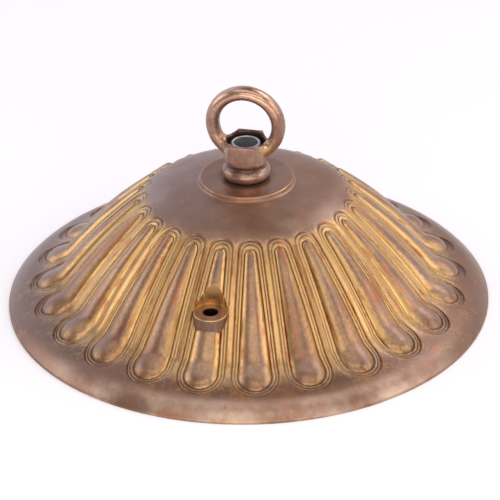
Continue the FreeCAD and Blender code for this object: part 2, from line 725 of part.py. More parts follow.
def drawCollar(sketch):
    inside = start["nippleRadius"]
    foot = start["collarFoot"]
    wide = start["collarRadius"]
    bulge = start["collarBulge"]
    neck = start["neckRadius"]
    high = start["neckHeight"]
    top = start["hexBottom"] + start["neckOverlap"]

    def swelling(radiusHere, heightHere, upwards):
        # arc from or to the widest point, upright there
        across = wide - radiusHere
        rise = heightHere - bulge
        radius = (across**2 + rise**2) / (2 * across)
        circle = Part.Circle(point(wide - radius, bulge), FreeCAD.Vector(0, 0, 1), radius)
        angle = math.atan2(rise, radiusHere - wide + radius)
        angles = (0, angle) if upwards else (angle, 0)
        return Part.ArcOfCircle(circle, *angles)

    sketch.addGeometry(Part.LineSegment(point(inside, 0), point(foot, 0)))
    sketch.addGeometry(swelling(foot, 0, False))
    sketch.addGeometry(swelling(neck, high, True))
    sketch.addGeometry(Part.LineSegment(point(neck, high), point(neck, top)))
    sketch.addGeometry(Part.LineSegment(point(neck, top), point(inside, top)))
    sketch.addGeometry(Part.LineSegment(point(inside, top), point(inside, 0)))
    for number in range(6):
        link(sketch, "Coincident", number, 2, (number + 1) % 6, 1)
    link(sketch, "Horizontal", 1, 3, 1, 2)
    link(sketch, "Horizontal", 2, 3, 2, 1)
    placeCorner(sketch, 0, inside, 0, "inside", "Sizes.nippleRadius", "0")
    placeCorner(sketch, 1, foot, 0, "foot", "Sizes.collarFoot", "0")
    placeCorner(sketch, 2, wide, bulge, "wide", "Sizes.collarRadius", "Sizes.collarBulge")
    placeCorner(sketch, 3, neck, high, "neck", "Sizes.neckRadius", "Sizes.neckHeight")
    topWords = "Sizes.hexBottom + Sizes.neckOverlap"
    placeCorner(sketch, 4, neck, top, "top", "Sizes.neckRadius", topWords)
    placeCorner(sketch, 5, inside, top, "shaft", "Sizes.nippleRadius", topWords)


drawCollar(collarSketch)
addRevolved(loop, "PartDesign::Revolution", "Collar", collarSketch,
                     (originFeature(loop, "Z_Axis"), [""]))

# eye: an oval section swept round in one turn
eyeSketch = addSketch(loop, "EyeSection", "YZ_Plane")


def drawEye(sketch):
    centre = start["eyeRise"]
    middle = centre + start["eyeRadius"]
    halfDeep = start["eyeDeep"] / 2
    halfThick = start["eyeThick"] / 2
    sketch.addGeometry(Part.LineSegment(point(-halfDeep, centre), point(halfDeep, centre)), True)
    sketch.addGeometry(Part.Ellipse(point(0, middle), halfDeep, halfThick))
    sketch.exposeInternalGeometry(1)
    link(sketch, "Horizontal", 2)
    link(sketch, "PointOnObject", 1, 3, upAxis)
    link(sketch, "Symmetric", 0, 1, 0, 2, upAxis)
    dimension(sketch, "DistanceY", (*origin, 0, 1), centre, "turnHeight", "Sizes.eyeRise")
    dimension(sketch, "DistanceX", (0, 1, 0, 2), start["eyeDeep"], "turnLine", "Sizes.eyeDeep")
    dimension(sketch, "DistanceY", (*origin, 1, 3), middle, "middle",
              "Sizes.eyeRise + Sizes.eyeRadius")
    dimension(sketch, "Distance", (2,), start["eyeDeep"], "deep", "Sizes.eyeDeep")
    dimension(sketch, "Distance", (3,), start["eyeThick"], "thick", "Sizes.eyeThick")


drawEye(eyeSketch)
addRevolved(loop, "PartDesign::Revolution", "Eye", eyeSketch, (eyeSketch, ["Axis0"]))

loopBoreSketch = addSketch(loop, "LoopBoreCircle", "XY_Plane")
drawCircle(loopBoreSketch, 0, 0, start["nippleRadius"], None, None, "Sizes.nippleRadius")
addPocket(loop, "LoopBore", loopBoreSketch, "Sizes.hexTop", True)
mouthSketch = addSketch(loop, "MouthCircle", "XY_Plane", "(Sizes.hexTop - Sizes.mouthDepth) * 1 mm")
drawCircle(mouthSketch, 0, 0, start["mouthRadius"], None, None, "Sizes.mouthRadius")
addPocket(loop, "Mouth", mouthSketch, "2 * Sizes.mouthDepth", True)
doc.recompute()

# threaded nipple, its thread drawn plain, with broken edges
nipple = addBody("threaded_nipple")
nippleTopWords = "Sizes.hexTop - Sizes.nippleBelowMouth"
nipple.setExpression("Placement.Base.z", seatWords + " + (" + nippleTopWords
                     + " - Sizes.nippleLength) * 1 mm")
nippleSketch = addSketch(nipple, "NippleSection", "XZ_Plane")


def drawNipple(sketch):
    bore = start["nippleBore"]
    outside = start["nippleRadius"]
    bevel = start["nippleBevel"]
    length = start["nippleLength"]
    corners = [
        (bore, 0, "Sizes.nippleBore", "0"),
        (outside - bevel, 0, "Sizes.nippleRadius - Sizes.nippleBevel", "0"),
        (outside, bevel, "Sizes.nippleRadius", "Sizes.nippleBevel"),
        (outside, length - bevel, "Sizes.nippleRadius", "Sizes.nippleLength - Sizes.nippleBevel"),
        (outside - bevel, length, "Sizes.nippleRadius - Sizes.nippleBevel", "Sizes.nippleLength"),
        (bore, length, "Sizes.nippleBore", "Sizes.nippleLength"),
    ]
    closedLines(sketch, [point(x, y) for x, y, _, _ in corners])
    for number, (x, y, xWords, yWords) in enumerate(corners):
        placeCorner(sketch, number, x, y, "corner%d" % number, xWords, yWords)


drawNipple(nippleSketch)
addRevolved(nipple, "PartDesign::Revolution", "Tube", nippleSketch,
                   (originFeature(nipple, "Z_Axis"), [""]))

washer = addBody("back_washer")
washer.setExpression("Placement.Base.z",
                     "HollowSection.Constraints.flatUp - Sizes.washerThick * 1 mm")
washerSketch = addSketch(washer, "WasherCircles", "XY_Plane")
drawCircle(washerSketch, 0, 0, start["washerRadius"], None, None, "Sizes.washerRadius")
drawCircle(washerSketch, 0, 0, start["nippleRadius"] + start["nippleClearance"], None, None,
           "Sizes.nippleRadius + Sizes.nippleClearance")
addPad(washer, "WasherDisc", washerSketch, "Sizes.washerThick", False)

nut = addBody("lock_nut")
nut.setExpression("Placement.Base.z",
                  "HollowSection.Constraints.flatUp - (Sizes.washerThick + Sizes.nutThick) * 1 mm")
nutSketch = addSketch(nut, "NutOutline", "XY_Plane")
hexagon(nutSketch, start["nutAcross"], "Sizes.nutAcross")
drawCircle(nutSketch, 0, 0, start["nippleRadius"], None, None, "Sizes.nippleRadius")
addPad(nut, "NutBlock", nutSketch, "Sizes.nutThick", False)

addCornerBevel(nut, "NutBevel", "nutAcross", "nutBevel")
doc.recompute()

faults = [item.Name for item in doc.Objects if "Invalid" in item.State or "Error" in item.State]
if faults:
    raise RuntimeError("failed: " + ", ".join(faults))
pieces = [shell, loop, nipple, washer, nut]
for piece in pieces:
    shape = piece.Shape
    if shape.isNull() or not shape.isValid() or len(shape.Solids) != 1:
        raise RuntimeError(piece.Label + " is not one sound solid")

os.makedirs("parts", exist_ok=True)
for piece in pieces:
    piece.Shape.exportStep("parts/" + piece.Label + ".step")
    print(piece.Label, round(piece.Shape.Volume, 1))
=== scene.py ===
import bpy
import bmesh
import math
from mathutils import Matrix, Vector


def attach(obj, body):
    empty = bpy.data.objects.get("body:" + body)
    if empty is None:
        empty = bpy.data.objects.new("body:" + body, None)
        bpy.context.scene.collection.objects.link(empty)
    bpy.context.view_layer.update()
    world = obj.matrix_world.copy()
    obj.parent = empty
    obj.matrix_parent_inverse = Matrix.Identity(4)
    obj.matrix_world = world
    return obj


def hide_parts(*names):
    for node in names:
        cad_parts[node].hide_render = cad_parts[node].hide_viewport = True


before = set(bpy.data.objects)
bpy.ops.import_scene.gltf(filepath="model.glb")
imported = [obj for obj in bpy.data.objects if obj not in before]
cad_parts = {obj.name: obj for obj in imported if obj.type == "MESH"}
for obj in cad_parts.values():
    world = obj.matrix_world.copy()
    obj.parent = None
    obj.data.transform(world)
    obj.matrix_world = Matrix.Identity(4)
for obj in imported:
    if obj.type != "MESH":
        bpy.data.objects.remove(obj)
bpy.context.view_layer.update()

mm = 0.001


# small helpers

def newMesh(name, points, faces):
    mesh = bpy.data.meshes.new(name)
    mesh.from_pydata([tuple(c * mm for c in p) for p in points], [], faces)
    mesh.update()
    thing = bpy.data.objects.new(name, mesh)
    bpy.context.scene.collection.objects.link(thing)
    return thing


def runModifier(thing, modifier):
    # puts the modifier's result in the object's mesh
    graph = bpy.context.evaluated_depsgraph_get()
    mesh = bpy.data.meshes.new_from_object(thing.evaluated_get(graph))
    mesh.name = thing.name
    thing.modifiers.remove(modifier)
    old = thing.data
    thing.data = mesh
    bpy.data.meshes.remove(old)


def addSocket(tree, name, direction, kind, default=None):
    socket = tree.interface.new_socket(name=name, in_out=direction, socket_type=kind)
    if default is not None:
        socket.default_value = default


# the shell's section: tangent arcs from the rim inwards, in millimetres

section = {
    "rim": 80.0, "land": 0.5, "wall": 3.4, "edge": 1.0,
    # the shell's scale in plan, which keeps the round rim inside the CAD mesh's box
    "fit": 0.9997,
    # name, 1 for a round outside or -1 for a hollow one, radius, width
    "arcs": [("edge", 1, 1.0, 0.225), ("band", 1, 14.26, 6.775), ("apron", -1, 78.3, 9.4),
             ("toe", -1, 9.3, 3.3), ("flank", 1, 190.0, 22.8), ("shoulder", 1, 25.1, 10.5)],
    # radii of the mesh's rings on the crown, inside and on the rim
    "crownRings": (31.0, 29.5, 28.0, 26.5, 25.0, 23.0, 21.0, 19.0, 17.6, 16.8, 16.2),
    "innerRings": (11.5, 14.0, 17.0, 20.0, 23.0, 26.0, 28.5, 31.0, 34.0, 37.5, 41.0, 46.0, 51.0, 56.0,
                   59.0, 60.5, 62.0, 63.6, 66.0, 69.0, 72.0, 74.5, 76.5, 78.0, 78.9, 79.775),
    "rimRings": (73.6, 74.4, 75.3, 76.2, 77.0, 77.7, 78.3, 78.8, 79.2, 79.5, 79.7, 79.775),
    "edgeShares": (0.25, 0.5, 0.75, 1.0), "footRing": 0.12,
}


def chainArcs():
    x, y, sine = section["rim"], section["land"], 1.0
    pieces = []
    for name, side, radius, width in section["arcs"]:
        cosine = math.sqrt(max(0.0, 1 - sine * sine))
        centreX, centreY = x - side * radius * sine, y - side * radius * cosine
        sine = sine - side * width / radius
        pieces.append((x - width, x, side, radius, centreX, centreY))
        x, y = x - width, centreY + side * radius * math.sqrt(1 - sine * sine)
    crown = x / sine
    pieces.append((0.0, x, 1, crown, 0.0, y - math.sqrt(crown**2 - x**2)))
    return pieces


arcPieces = chainArcs()


def surfaceAt(r):
    # height, and the normal's outward and upward shares, of the outer face
    for low, high, side, radius, centreX, centreY in arcPieces:
        if r >= low - 1e-9 and r <= high + 1e-9:
            lean = min(1.0, max(-1.0, side * (r - centreX) / radius))
            level = math.sqrt(1 - lean * lean)
            return centreY + side * radius * level, lean, level
    return section["land"], 1.0, 0.0


def onShell(x, y, out=0.0):
    # a plan point, y outwards along the flute, lifted square to the surface
    r = math.hypot(x, y)
    z, lean, level = surfaceAt(r)
    share = (r + out * lean) / r if r > 1e-6 else 1.0
    return x * share, -y * share, z + out * level


# one flute: a round bead inside two fine bands, set in the surface

flute = {
    "count": 24, "weld": 0.00002,
    # two circles on the flute's middle line: place, radius
    "bead": ((37.1, 1.85), (65.2, 5.35)),
    "outline": ((36.3, 4.0), (65.2, 7.6)),
    "capSteps": 6, "sideSteps": 24, "tipSteps": 14,
    # the bead's rings, its rise by its half width, how much of a half circle it is, and its sunk edge
    "beadRings": [0.0, 0.2, 0.4, 0.58, 0.74, 0.87, 0.96],
    "rise": [(0.0, 0.9), (1.85, 1.1), (3.3, 1.75), (4.2, 2.0), (5.35, 2.1)],
    "roundShare": 0.86, "edge": -0.5,
    # share of the way from the bead to the outline, height over the surface
    "bands": [(0.0, -0.6), (0.04, -0.5), (0.1, -0.37), (0.2, -0.31), (0.3, -0.31), (0.38, -0.36),
              (0.43, -0.44), (0.48, -0.46), (0.53, -0.4), (0.58, -0.31), (0.66, -0.27), (0.74, -0.29),
              (0.8, -0.36), (0.86, -0.46), (0.91, -0.46), (0.96, -0.3), (1.0, -0.08)],
    "ridgeShares": [0.12, 0.4, 0.7, 1.0],
    "topArc": 31.0, "tipArc": 73.6, "topArcSteps": 5, "tipArcSteps": 12,
    # moves each flute's noise away from the next one's
    "noiseStep": 7.31,
}


def interpolate(pairs, x):
    for (x0, y0), (x1, y1) in zip(pairs, pairs[1:]):
        if x <= x1:
            return y0 + (y1 - y0) * max(0.0, x - x0) / (x1 - x0)
    return pairs[-1][1]


def contour(circles):
    # half of the rounded outline round two circles, from the upper end to the lower
    (c1, w1), (c2, w2) = circles
    tilt = math.asin((w2 - w1) / (c2 - c1))
    found = []
    for step in range(flute["capSteps"]):
        turn = (math.pi / 2 - tilt) * step / flute["capSteps"]
        found.append((w1 * math.sin(turn), c1 - w1 * math.cos(turn), w1))
    fromX, fromY = w1 * math.cos(tilt), c1 - w1 * math.sin(tilt)
    toX, toY = w2 * math.cos(tilt), c2 - w2 * math.sin(tilt)
    for step in range(flute["sideSteps"]):
        share = step / flute["sideSteps"]
        found.append((fromX + (toX - fromX) * share, fromY + (toY - fromY) * share,
                      w1 + (w2 - w1) * share))
    for step in range(flute["tipSteps"] + 1):
        turn = (math.pi / 2 - tilt) + (math.pi / 2 + tilt) * step / flute["tipSteps"]
        found.append((w2 * math.sin(turn), c2 - w2 * math.cos(turn), w2))
    return found


def mixed(share):
    return tuple(tuple(a + (b - a) * share for a, b in zip(low, high))
                 for low, high in zip(flute["bead"], flute["outline"]))


def beadRows():
    # rings of the bead from its middle line outwards
    (c1, w1), (c2, w2) = flute["bead"]
    full = contour(flute["bead"])
    fall = math.sqrt(1 - flute["roundShare"]**2)
    rows = []
    for share in flute["beadRings"]:
        scaled = contour(((c1, max(w1 * share, 1e-6)), (c2, max(w2 * share, 1e-6))))
        roundness = (math.sqrt(1 - (flute["roundShare"] * share) ** 2) - fall) / (1 - fall)
        row = []
        for (x, y, _), (_, _, width) in zip(scaled, full):
            row.append(onShell(x, y, flute["edge"] + interpolate(flute["rise"], width) * roundness))
        rows.append(row)
    return rows


def wedgeBorder(outline, first, last, half):
    # the point on the wedge's edge that belongs to each point of the flute's outline
    total = len(outline) - 1
    low, high = outline[first][1], outline[last][1]
    border = []
    for number, (x, y, _) in enumerate(outline):
        if number <= first:
            r, turn = flute["topArc"], half * number / first
        elif number >= last:
            r, turn = flute["tipArc"], half * (total - number) / (total - last)
        else:
            r = flute["topArc"] + (flute["tipArc"] - flute["topArc"]) * (y - low) / (high - low)
            turn = half
        border.append((r * math.sin(turn), r * math.cos(turn)))
    return border


def buildWedge():
    # half rows from the flute's middle to the wedge's side, mirrored to make the whole wedge
    rows = beadRows()
    for share, out in flute["bands"]:
        rows.append([onShell(x, y, out) for x, y, _ in contour(mixed(share))])
    outline = contour(flute["outline"])
    total = len(outline) - 1
    first, last = flute["topArcSteps"], total - flute["tipArcSteps"]
    half = math.pi / flute["count"]
    border = wedgeBorder(outline, first, last, half)
    for share in flute["ridgeShares"]:
        rows.append([onShell(x + (bx - x) * share, y + (by - y) * share, 0.0)
                     for (x, y, _), (bx, by) in zip(outline, border)])
    points, faces = [], []

    def stitch(base, count, width):
        # faces between rows of points that follow each other in the list
        for row in range(count - 1):
            for step in range(width - 1):
                a = base + row * width + step
                faces.append((a, a + 1, a + width + 1, a + width))

    def polar(path, turns):
        base = len(points)
        for x, z in path:
            points.extend((x * math.sin(turn), -x * math.cos(turn), z) for turn in turns)
        stitch(base, len(path), len(turns))

    for side in (1, -1):
        base = len(points)
        for row in rows:
            points.extend((side * x, y, z) for x, y, z in row)
        stitch(base, len(rows), len(rows[0]))
    topTurns = [half * step / first for step in range(-first, first + 1)]
    tipCount = total - last
    tipTurns = [half * step / tipCount for step in range(-tipCount, tipCount + 1)]
    inner = innerPath()
    polar(inner, topTurns)
    polar(rimPath(), tipTurns)
    # the flat under the rim closes the wedge between the two rows
    flat = len(points)
    rim, foot = section["rim"], inner[-1][0]
    points.extend((rim * math.sin(turn), -rim * math.cos(turn), 0.0) for turn in tipTurns)
    points.extend((foot * math.sin(turn), -foot * math.cos(turn), 0.0) for turn in reversed(topTurns))
    faces.append(tuple(range(flat, len(points))))
    return points, faces


seat = {
    "radius": 15.4, "rise": 0.6, "bevel": 0.3, "hole": 5.3, "nutFlat": 11.5, "nutDrop": 0.6,
    # bevels of the hole and of the nut's flat
    "lip": 0.2, "soft": 0.1,
    # fillet below the seat: outwards from its wall, down from the crown's top
    "fillet": ((0.35, 1.05), (0.05, 0.7), (0.0, 0.4)),
    # middle of the bevel: inwards and down; then radii of rings on the seat's face
    "bevelMiddle": (0.1, 0.12), "faceRings": (14.6, 10.0),
}
crownTop = surfaceAt(0.0)[0]
seatTop = crownTop + seat["rise"]


def innerPath():
    # from the flutes' upper arc over the crown and the seat, through the hole and along the inside
    path = [(r, surfaceAt(r)[0]) for r in section["crownRings"]]
    wall, hole, nutFlat = seat["radius"], seat["hole"], seat["nutFlat"]
    bevel, lip, soft = seat["bevel"], seat["lip"], seat["soft"]
    nutRoof = crownTop - section["wall"] - seat["nutDrop"]
    across, down = seat["bevelMiddle"]
    path += [(wall + out, crownTop - drop) for out, drop in seat["fillet"]]
    path += [(wall, seatTop - bevel), (wall - across, seatTop - down), (wall - bevel, seatTop)]
    path += [(r, seatTop) for r in seat["faceRings"]]
    path += [(hole + lip, seatTop), (hole, seatTop - soft), (hole, nutRoof), (hole + lip, nutRoof)]
    path += [(nutFlat - soft, nutRoof), (nutFlat, nutRoof + soft)]
    for r in section["innerRings"]:
        z, lean, level = surfaceAt(r)
        x, y = r - section["wall"] * lean, z - section["wall"] * level
        if y <= 0.0:
            share = path[-1][1] / (path[-1][1] - y)
            path.append((path[-1][0] + (x - path[-1][0]) * share, 0.0))
            break
        if x > nutFlat:
            path.append((x, y))
    return path


def rimPath():
    # from the flutes' lower arc over the rolled edge to the table
    path = [(r, surfaceAt(r)[0]) for r in section["rimRings"]]
    rim, edge = section["rim"], section["edge"]
    start = math.asin((section["rimRings"][-1] - rim + edge) / edge)
    for share in section["edgeShares"]:
        turn = start * (1 - share) + math.pi / 2 * share
        path.append((rim - edge + edge * math.sin(turn), section["land"] + edge * math.cos(turn)))
    return path + [(rim, section["footRing"]), (rim, 0.0)]


def repeatTree():
    tree = bpy.data.node_groups.new("RepeatRound", "GeometryNodeTree")
    addSocket(tree, "Geometry", "INPUT", "NodeSocketGeometry")
    addSocket(tree, "Count", "INPUT", "NodeSocketInt", flute["count"])
    addSocket(tree, "Weld", "INPUT", "NodeSocketFloat", flute["weld"])
    addSocket(tree, "Material", "INPUT", "NodeSocketMaterial")
    addSocket(tree, "Geometry", "OUTPUT", "NodeSocketGeometry")
    nodes, links = tree.nodes, tree.links
    entry = nodes.new("NodeGroupInput")
    line = nodes.new("GeometryNodeMeshLine")
    line.mode = "OFFSET"
    line.inputs["Offset"].default_value = (0, 0, 0)
    links.new(entry.outputs["Count"], line.inputs["Count"])
    copies = nodes.new("GeometryNodeInstanceOnPoints")
    index = nodes.new("GeometryNodeInputIndex")
    turn = nodes.new("ShaderNodeMath")
    turn.operation = "MULTIPLY"
    share = nodes.new("ShaderNodeMath")
    share.operation = "DIVIDE"
    share.inputs[0].default_value = 2 * math.pi
    links.new(entry.outputs["Count"], share.inputs[1])
    links.new(index.outputs[0], turn.inputs[0])
    links.new(share.outputs[0], turn.inputs[1])
    axis = nodes.new("ShaderNodeCombineXYZ")
    links.new(turn.outputs[0], axis.inputs["Z"])
    links.new(line.outputs[0], copies.inputs["Points"])
    links.new(entry.outputs["Geometry"], copies.inputs["Instance"])
    links.new(axis.outputs[0], copies.inputs["Rotation"])
    real = nodes.new("GeometryNodeRealizeInstances")
    weld = nodes.new("GeometryNodeMergeByDistance")
    paint = nodes.new("GeometryNodeSetMaterial")
    leave = nodes.new("NodeGroupOutput")
    links.new(copies.outputs[0], real.inputs[0])
    links.new(real.outputs[0], weld.inputs["Geometry"])
    links.new(entry.outputs["Weld"], weld.inputs["Distance"])
    links.new(weld.outputs[0], paint.inputs["Geometry"])
    links.new(entry.outputs["Material"], paint.inputs["Material"])
    links.new(paint.outputs[0], leave.inputs[0])
    return tree


def setInput(modifier, name, value):
    for item in modifier.node_group.interface.items_tree:
        if item.item_type == "SOCKET" and item.in_out == "INPUT" and item.name == name:
            modifier[item.identifier] = value


# shared shader groups: they put out masks, colours and heights

def maths(tree, operation, *values):
    node = tree.nodes.new("ShaderNodeMath")
    node.operation = operation
    for number, value in enumerate(values):
        if isinstance(value, (int, float)):
            node.inputs[number].default_value = value
        else:
            tree.links.new(value, node.inputs[number])
    return node.outputs[0]


def times(tree, first, second):
    return maths(tree, "MULTIPLY", first, second)


def added(tree, value, strength, base):
    return maths(tree, "MULTIPLY_ADD", value, strength, base)


def otherwise(tree, mask):
    return maths(tree, "SUBTRACT", 1.0, mask)


def distance(tree, value, squared):
    # the root of a value's square and another square
    return maths(tree, "SQRT", added(tree, value, value, squared))


def ramped(tree, value, low, high, fromLow=0.0, toHigh=1.0):
    node = tree.nodes.new("ShaderNodeMapRange")
    node.interpolation_type = "SMOOTHSTEP"
    for name, number in (("From Min", low), ("From Max", high), ("To Min", fromLow), ("To Max", toHigh)):
        node.inputs[name].default_value = number
    tree.links.new(value, node.inputs["Value"])
    return node.outputs[0]


def blended(tree, share, first, second):
    node = tree.nodes.new("ShaderNodeMix")
    node.data_type = "RGBA"
    for name, value in (("Factor", share), (6, first), (7, second)):
        if isinstance(value, tuple):
            node.inputs[name].default_value = (*value, 1)
        else:
            tree.links.new(value, node.inputs[name])
    return node.outputs[2]


def noise(tree, vector, scale, detail, roughness):
    node = tree.nodes.new("ShaderNodeTexNoise")
    node.inputs["Scale"].default_value = scale
    node.inputs["Detail"].default_value = detail
    node.inputs["Roughness"].default_value = roughness
    tree.links.new(vector, node.inputs["Vector"])
    return node.outputs["Fac"]


def stretched(tree, vector, x, y, z):
    node = tree.nodes.new("ShaderNodeVectorMath")
    node.operation = "MULTIPLY"
    node.inputs[1].default_value = (x, y, z)
    tree.links.new(vector, node.inputs[0])
    return node.outputs[0]


def inMillimetres(tree):
    # the object's coordinates as a vector, and x, y and z in millimetres
    coordinates = tree.nodes.new("ShaderNodeTexCoord")
    spot = coordinates.outputs["Object"]
    parts = tree.nodes.new("ShaderNodeSeparateXYZ")
    tree.links.new(stretched(tree, spot, 1 / mm, 1 / mm, 1 / mm), parts.inputs[0])
    return spot, list(parts.outputs)


def upShare(tree, normal):
    # how far a face looks up, from -1 to 1
    faced = tree.nodes.new("ShaderNodeNewGeometry")
    parts = tree.nodes.new("ShaderNodeSeparateXYZ")
    tree.links.new(faced.outputs[normal], parts.inputs[0])
    return parts.outputs[2]


def shaderGroup(name, inputs, outputs):
    tree = bpy.data.node_groups.new(name, "ShaderNodeTree")
    for direction, sockets in (("INPUT", inputs), ("OUTPUT", outputs)):
        for socketName, kind in sockets:
            addSocket(tree, socketName, direction, "NodeSocket" + kind)
    return tree, tree.nodes.new("NodeGroupInput"), tree.nodes.new("NodeGroupOutput")


def capsule(tree, x, y, circles):
    # distance from an outline round two circles on the flute's middle line, less than 0 inside
    (c1, w1), (c2, w2) = circles
    span = c2 - c1
    b = (w1 - w2) / span
    a = math.sqrt(1 - b * b)
    up = maths(tree, "SUBTRACT", y, c1)
    past = maths(tree, "SUBTRACT", up, span)
    across = maths(tree, "ABSOLUTE", x)
    squared = times(tree, across, across)
    side = maths(tree, "SUBTRACT", added(tree, up, b, times(tree, across, a)), w1)
    along = added(tree, up, a, times(tree, across, -b))
    atTop = maths(tree, "LESS_THAN", along, 0.0)
    atTip = maths(tree, "GREATER_THAN", along, a * span)
    atSide = maths(tree, "SUBTRACT", otherwise(tree, atTop), atTip)
    total = times(tree, maths(tree, "SUBTRACT", distance(tree, up, squared), w1), atTop)
    atTipEnd = maths(tree, "SUBTRACT", distance(tree, past, squared), w2)
    total = added(tree, atTipEnd, atTip, total)
    return added(tree, side, atSide, total)


def flutePlanGroup():
    # where a point lies among the flutes, in millimetres
    names = ("Bead", "Outline", "Share", "Depth", "Radius")
    tree, entry, leave = shaderGroup("FlutePlan", [("Count", "Float")],
                                     [(name, "Float") for name in names] + [("Local", "Vector")])
    links = tree.links
    x, y, z = inMillimetres(tree)[1]
    radius = distance(tree, x, times(tree, y, y))
    turn = maths(tree, "ARCTAN2", x, times(tree, y, -1.0))
    pitch = maths(tree, "DIVIDE", 2 * math.pi, entry.outputs["Count"])
    number = maths(tree, "ROUND", maths(tree, "DIVIDE", turn, pitch))
    local = maths(tree, "SUBTRACT", turn, times(tree, number, pitch))
    across = times(tree, radius, maths(tree, "SINE", local))
    along = times(tree, radius, maths(tree, "COSINE", local))
    bead = capsule(tree, across, along, flute["bead"])
    outline = capsule(tree, across, along, flute["outline"])
    share = maths(tree, "DIVIDE", bead, maths(tree, "SUBTRACT", bead, outline))
    (c1, w1), (c2, w2) = flute["bead"]
    half = tree.nodes.new("ShaderNodeMapRange")
    for name, value in (("From Min", c1), ("From Max", c2), ("To Min", w1), ("To Max", w2)):
        half.inputs[name].default_value = value
    links.new(along, half.inputs["Value"])
    depth = maths(tree, "DIVIDE", times(tree, bead, -1.0), half.outputs[0])
    vector = tree.nodes.new("ShaderNodeCombineXYZ")
    for slot, value in enumerate((across, along, times(tree, number, flute["noiseStep"]))):
        links.new(value, vector.inputs[slot])
    for name, value in zip(names, (bead, outline, share, depth, radius)):
        links.new(value, leave.inputs[name])
    links.new(vector.outputs[0], leave.inputs["Local"])
    return tree


agedLook = {
    # noises: scale, detail, roughness; and how far each moves the mask of bright metal
    "cloud": (55.0, 4.0, 0.6), "grain": (900.0, 3.0, 0.6), "spots": (260.0, 4.0, 0.65),
    "cloudSpread": 0.8, "spotSpread": 0.8, "grainSpread": 0.9, "brightFrom": (0.05, 0.95),
    # brown film over the patina, more of it on faces that look up
    "filmFrom": (0.35, 0.65), "upFrom": (0.45, 0.98), "upFilm": 0.15,
    "rustSpots": 0.22, "rustFrom": (0.56, 0.74), "rustGain": 0.7, "rustBase": 0.15,
    # the colour of the painted shade
    "paintedShade": (0.03, 0.012, 0.008),
    # values of the dull metal and what full brightness, polish and spots add
    "metallic": 0.66, "brightMetallic": 0.3, "rough": 0.38, "brightRough": -0.04, "polishRough": -0.14,
    "spotRough": 0.3, "grainHeight": 0.4, "spotHeight": 0.6,
}


def agedMetalGroup():
    # aged metal under thin brown patina: the mask says how much bright metal shows
    colours = [(name, "Color") for name in ("Metal", "Patina", "Film", "Rust")]
    shares = [(name, "Float") for name in ("Bright", "RustShare", "Grime", "Polish")]
    tree, entry, leave = shaderGroup("AgedMetal", colours + shares + [("Vector", "Vector")], [
        ("Color", "Color"), ("Metallic", "Float"), ("Roughness", "Float"), ("Height", "Float")])
    given, look = entry.outputs, agedLook
    cloud = noise(tree, given["Vector"], *look["cloud"])
    grain = noise(tree, given["Vector"], *look["grain"])
    spots = noise(tree, given["Vector"], *look["spots"])
    upward = ramped(tree, upShare(tree, "Normal"), *look["upFrom"])
    bright = given["Bright"]
    for pattern, spread in ((cloud, "cloudSpread"), (spots, "spotSpread"), (grain, "grainSpread")):
        moved = added(tree, pattern, look[spread], -look[spread] / 2)
        bright = maths(tree, "ADD", bright, moved)
    bright = ramped(tree, bright, *look["brightFrom"])
    dull = blended(tree, ramped(tree, cloud, *look["filmFrom"]), given["Patina"], given["Film"])
    dull = blended(tree, times(tree, upward, look["upFilm"]), dull, given["Film"])
    colour = blended(tree, bright, dull, given["Metal"])
    rusty = added(tree, given["RustShare"], look["rustSpots"], spots)
    rusty = ramped(tree, rusty, *look["rustFrom"])
    strength = added(tree, given["RustShare"], look["rustGain"], look["rustBase"])
    colour = blended(tree, times(tree, rusty, strength), colour, given["Rust"])
    # painted shade darkens the colour where its mask says
    colour = blended(tree, given["Grime"], colour, look["paintedShade"])
    metallic = added(tree, bright, look["brightMetallic"], look["metallic"])
    rough = added(tree, bright, look["brightRough"], look["rough"])
    rough = added(tree, given["Polish"], look["polishRough"], rough)
    rough = added(tree, maths(tree, "SUBTRACT", spots, 0.5), look["spotRough"], rough)
    height = added(tree, grain, look["grainHeight"], times(tree, spots, look["spotHeight"]))
    for slot, value in enumerate((colour, metallic, rough, height)):
        tree.links.new(value, leave.inputs[slot])
    return tree


planGroup = flutePlanGroup()
agedGroup = agedMetalGroup()


def newMaterial(name):
    material = bpy.data.materials.new(name)
    material.use_nodes = True
    tree = material.node_tree
    return material, tree, tree.nodes["Principled BSDF"]


def useGroup(tree, group, **values):
    node = tree.nodes.new("ShaderNodeGroup")
    node.node_tree = group
    for name, value in values.items():
        if isinstance(value, tuple):
            node.inputs[name].default_value = (*value, 1)
        elif isinstance(value, (int, float)):
            node.inputs[name].default_value = value
        else:
            tree.links.new(value, node.inputs[name])
    return node


def finish(tree, shader, aged, look):
    links = tree.links
    links.new(aged.outputs["Color"], shader.inputs["Base Color"])
    links.new(aged.outputs["Metallic"], shader.inputs["Metallic"])
    links.new(aged.outputs["Roughness"], shader.inputs["Roughness"])
    bump = tree.nodes.new("ShaderNodeBump")
    bump.inputs["Strength"].default_value = look["bump"]
    bump.inputs["Distance"].default_value = look["grain"]
    links.new(aged.outputs["Height"], bump.inputs["Height"])
    links.new(bump.outputs[0], shader.inputs["Normal"])
    shader.inputs["Coat Weight"].default_value = look["coat"]
    shader.inputs["Coat Roughness"].default_value = look["coatRough"]


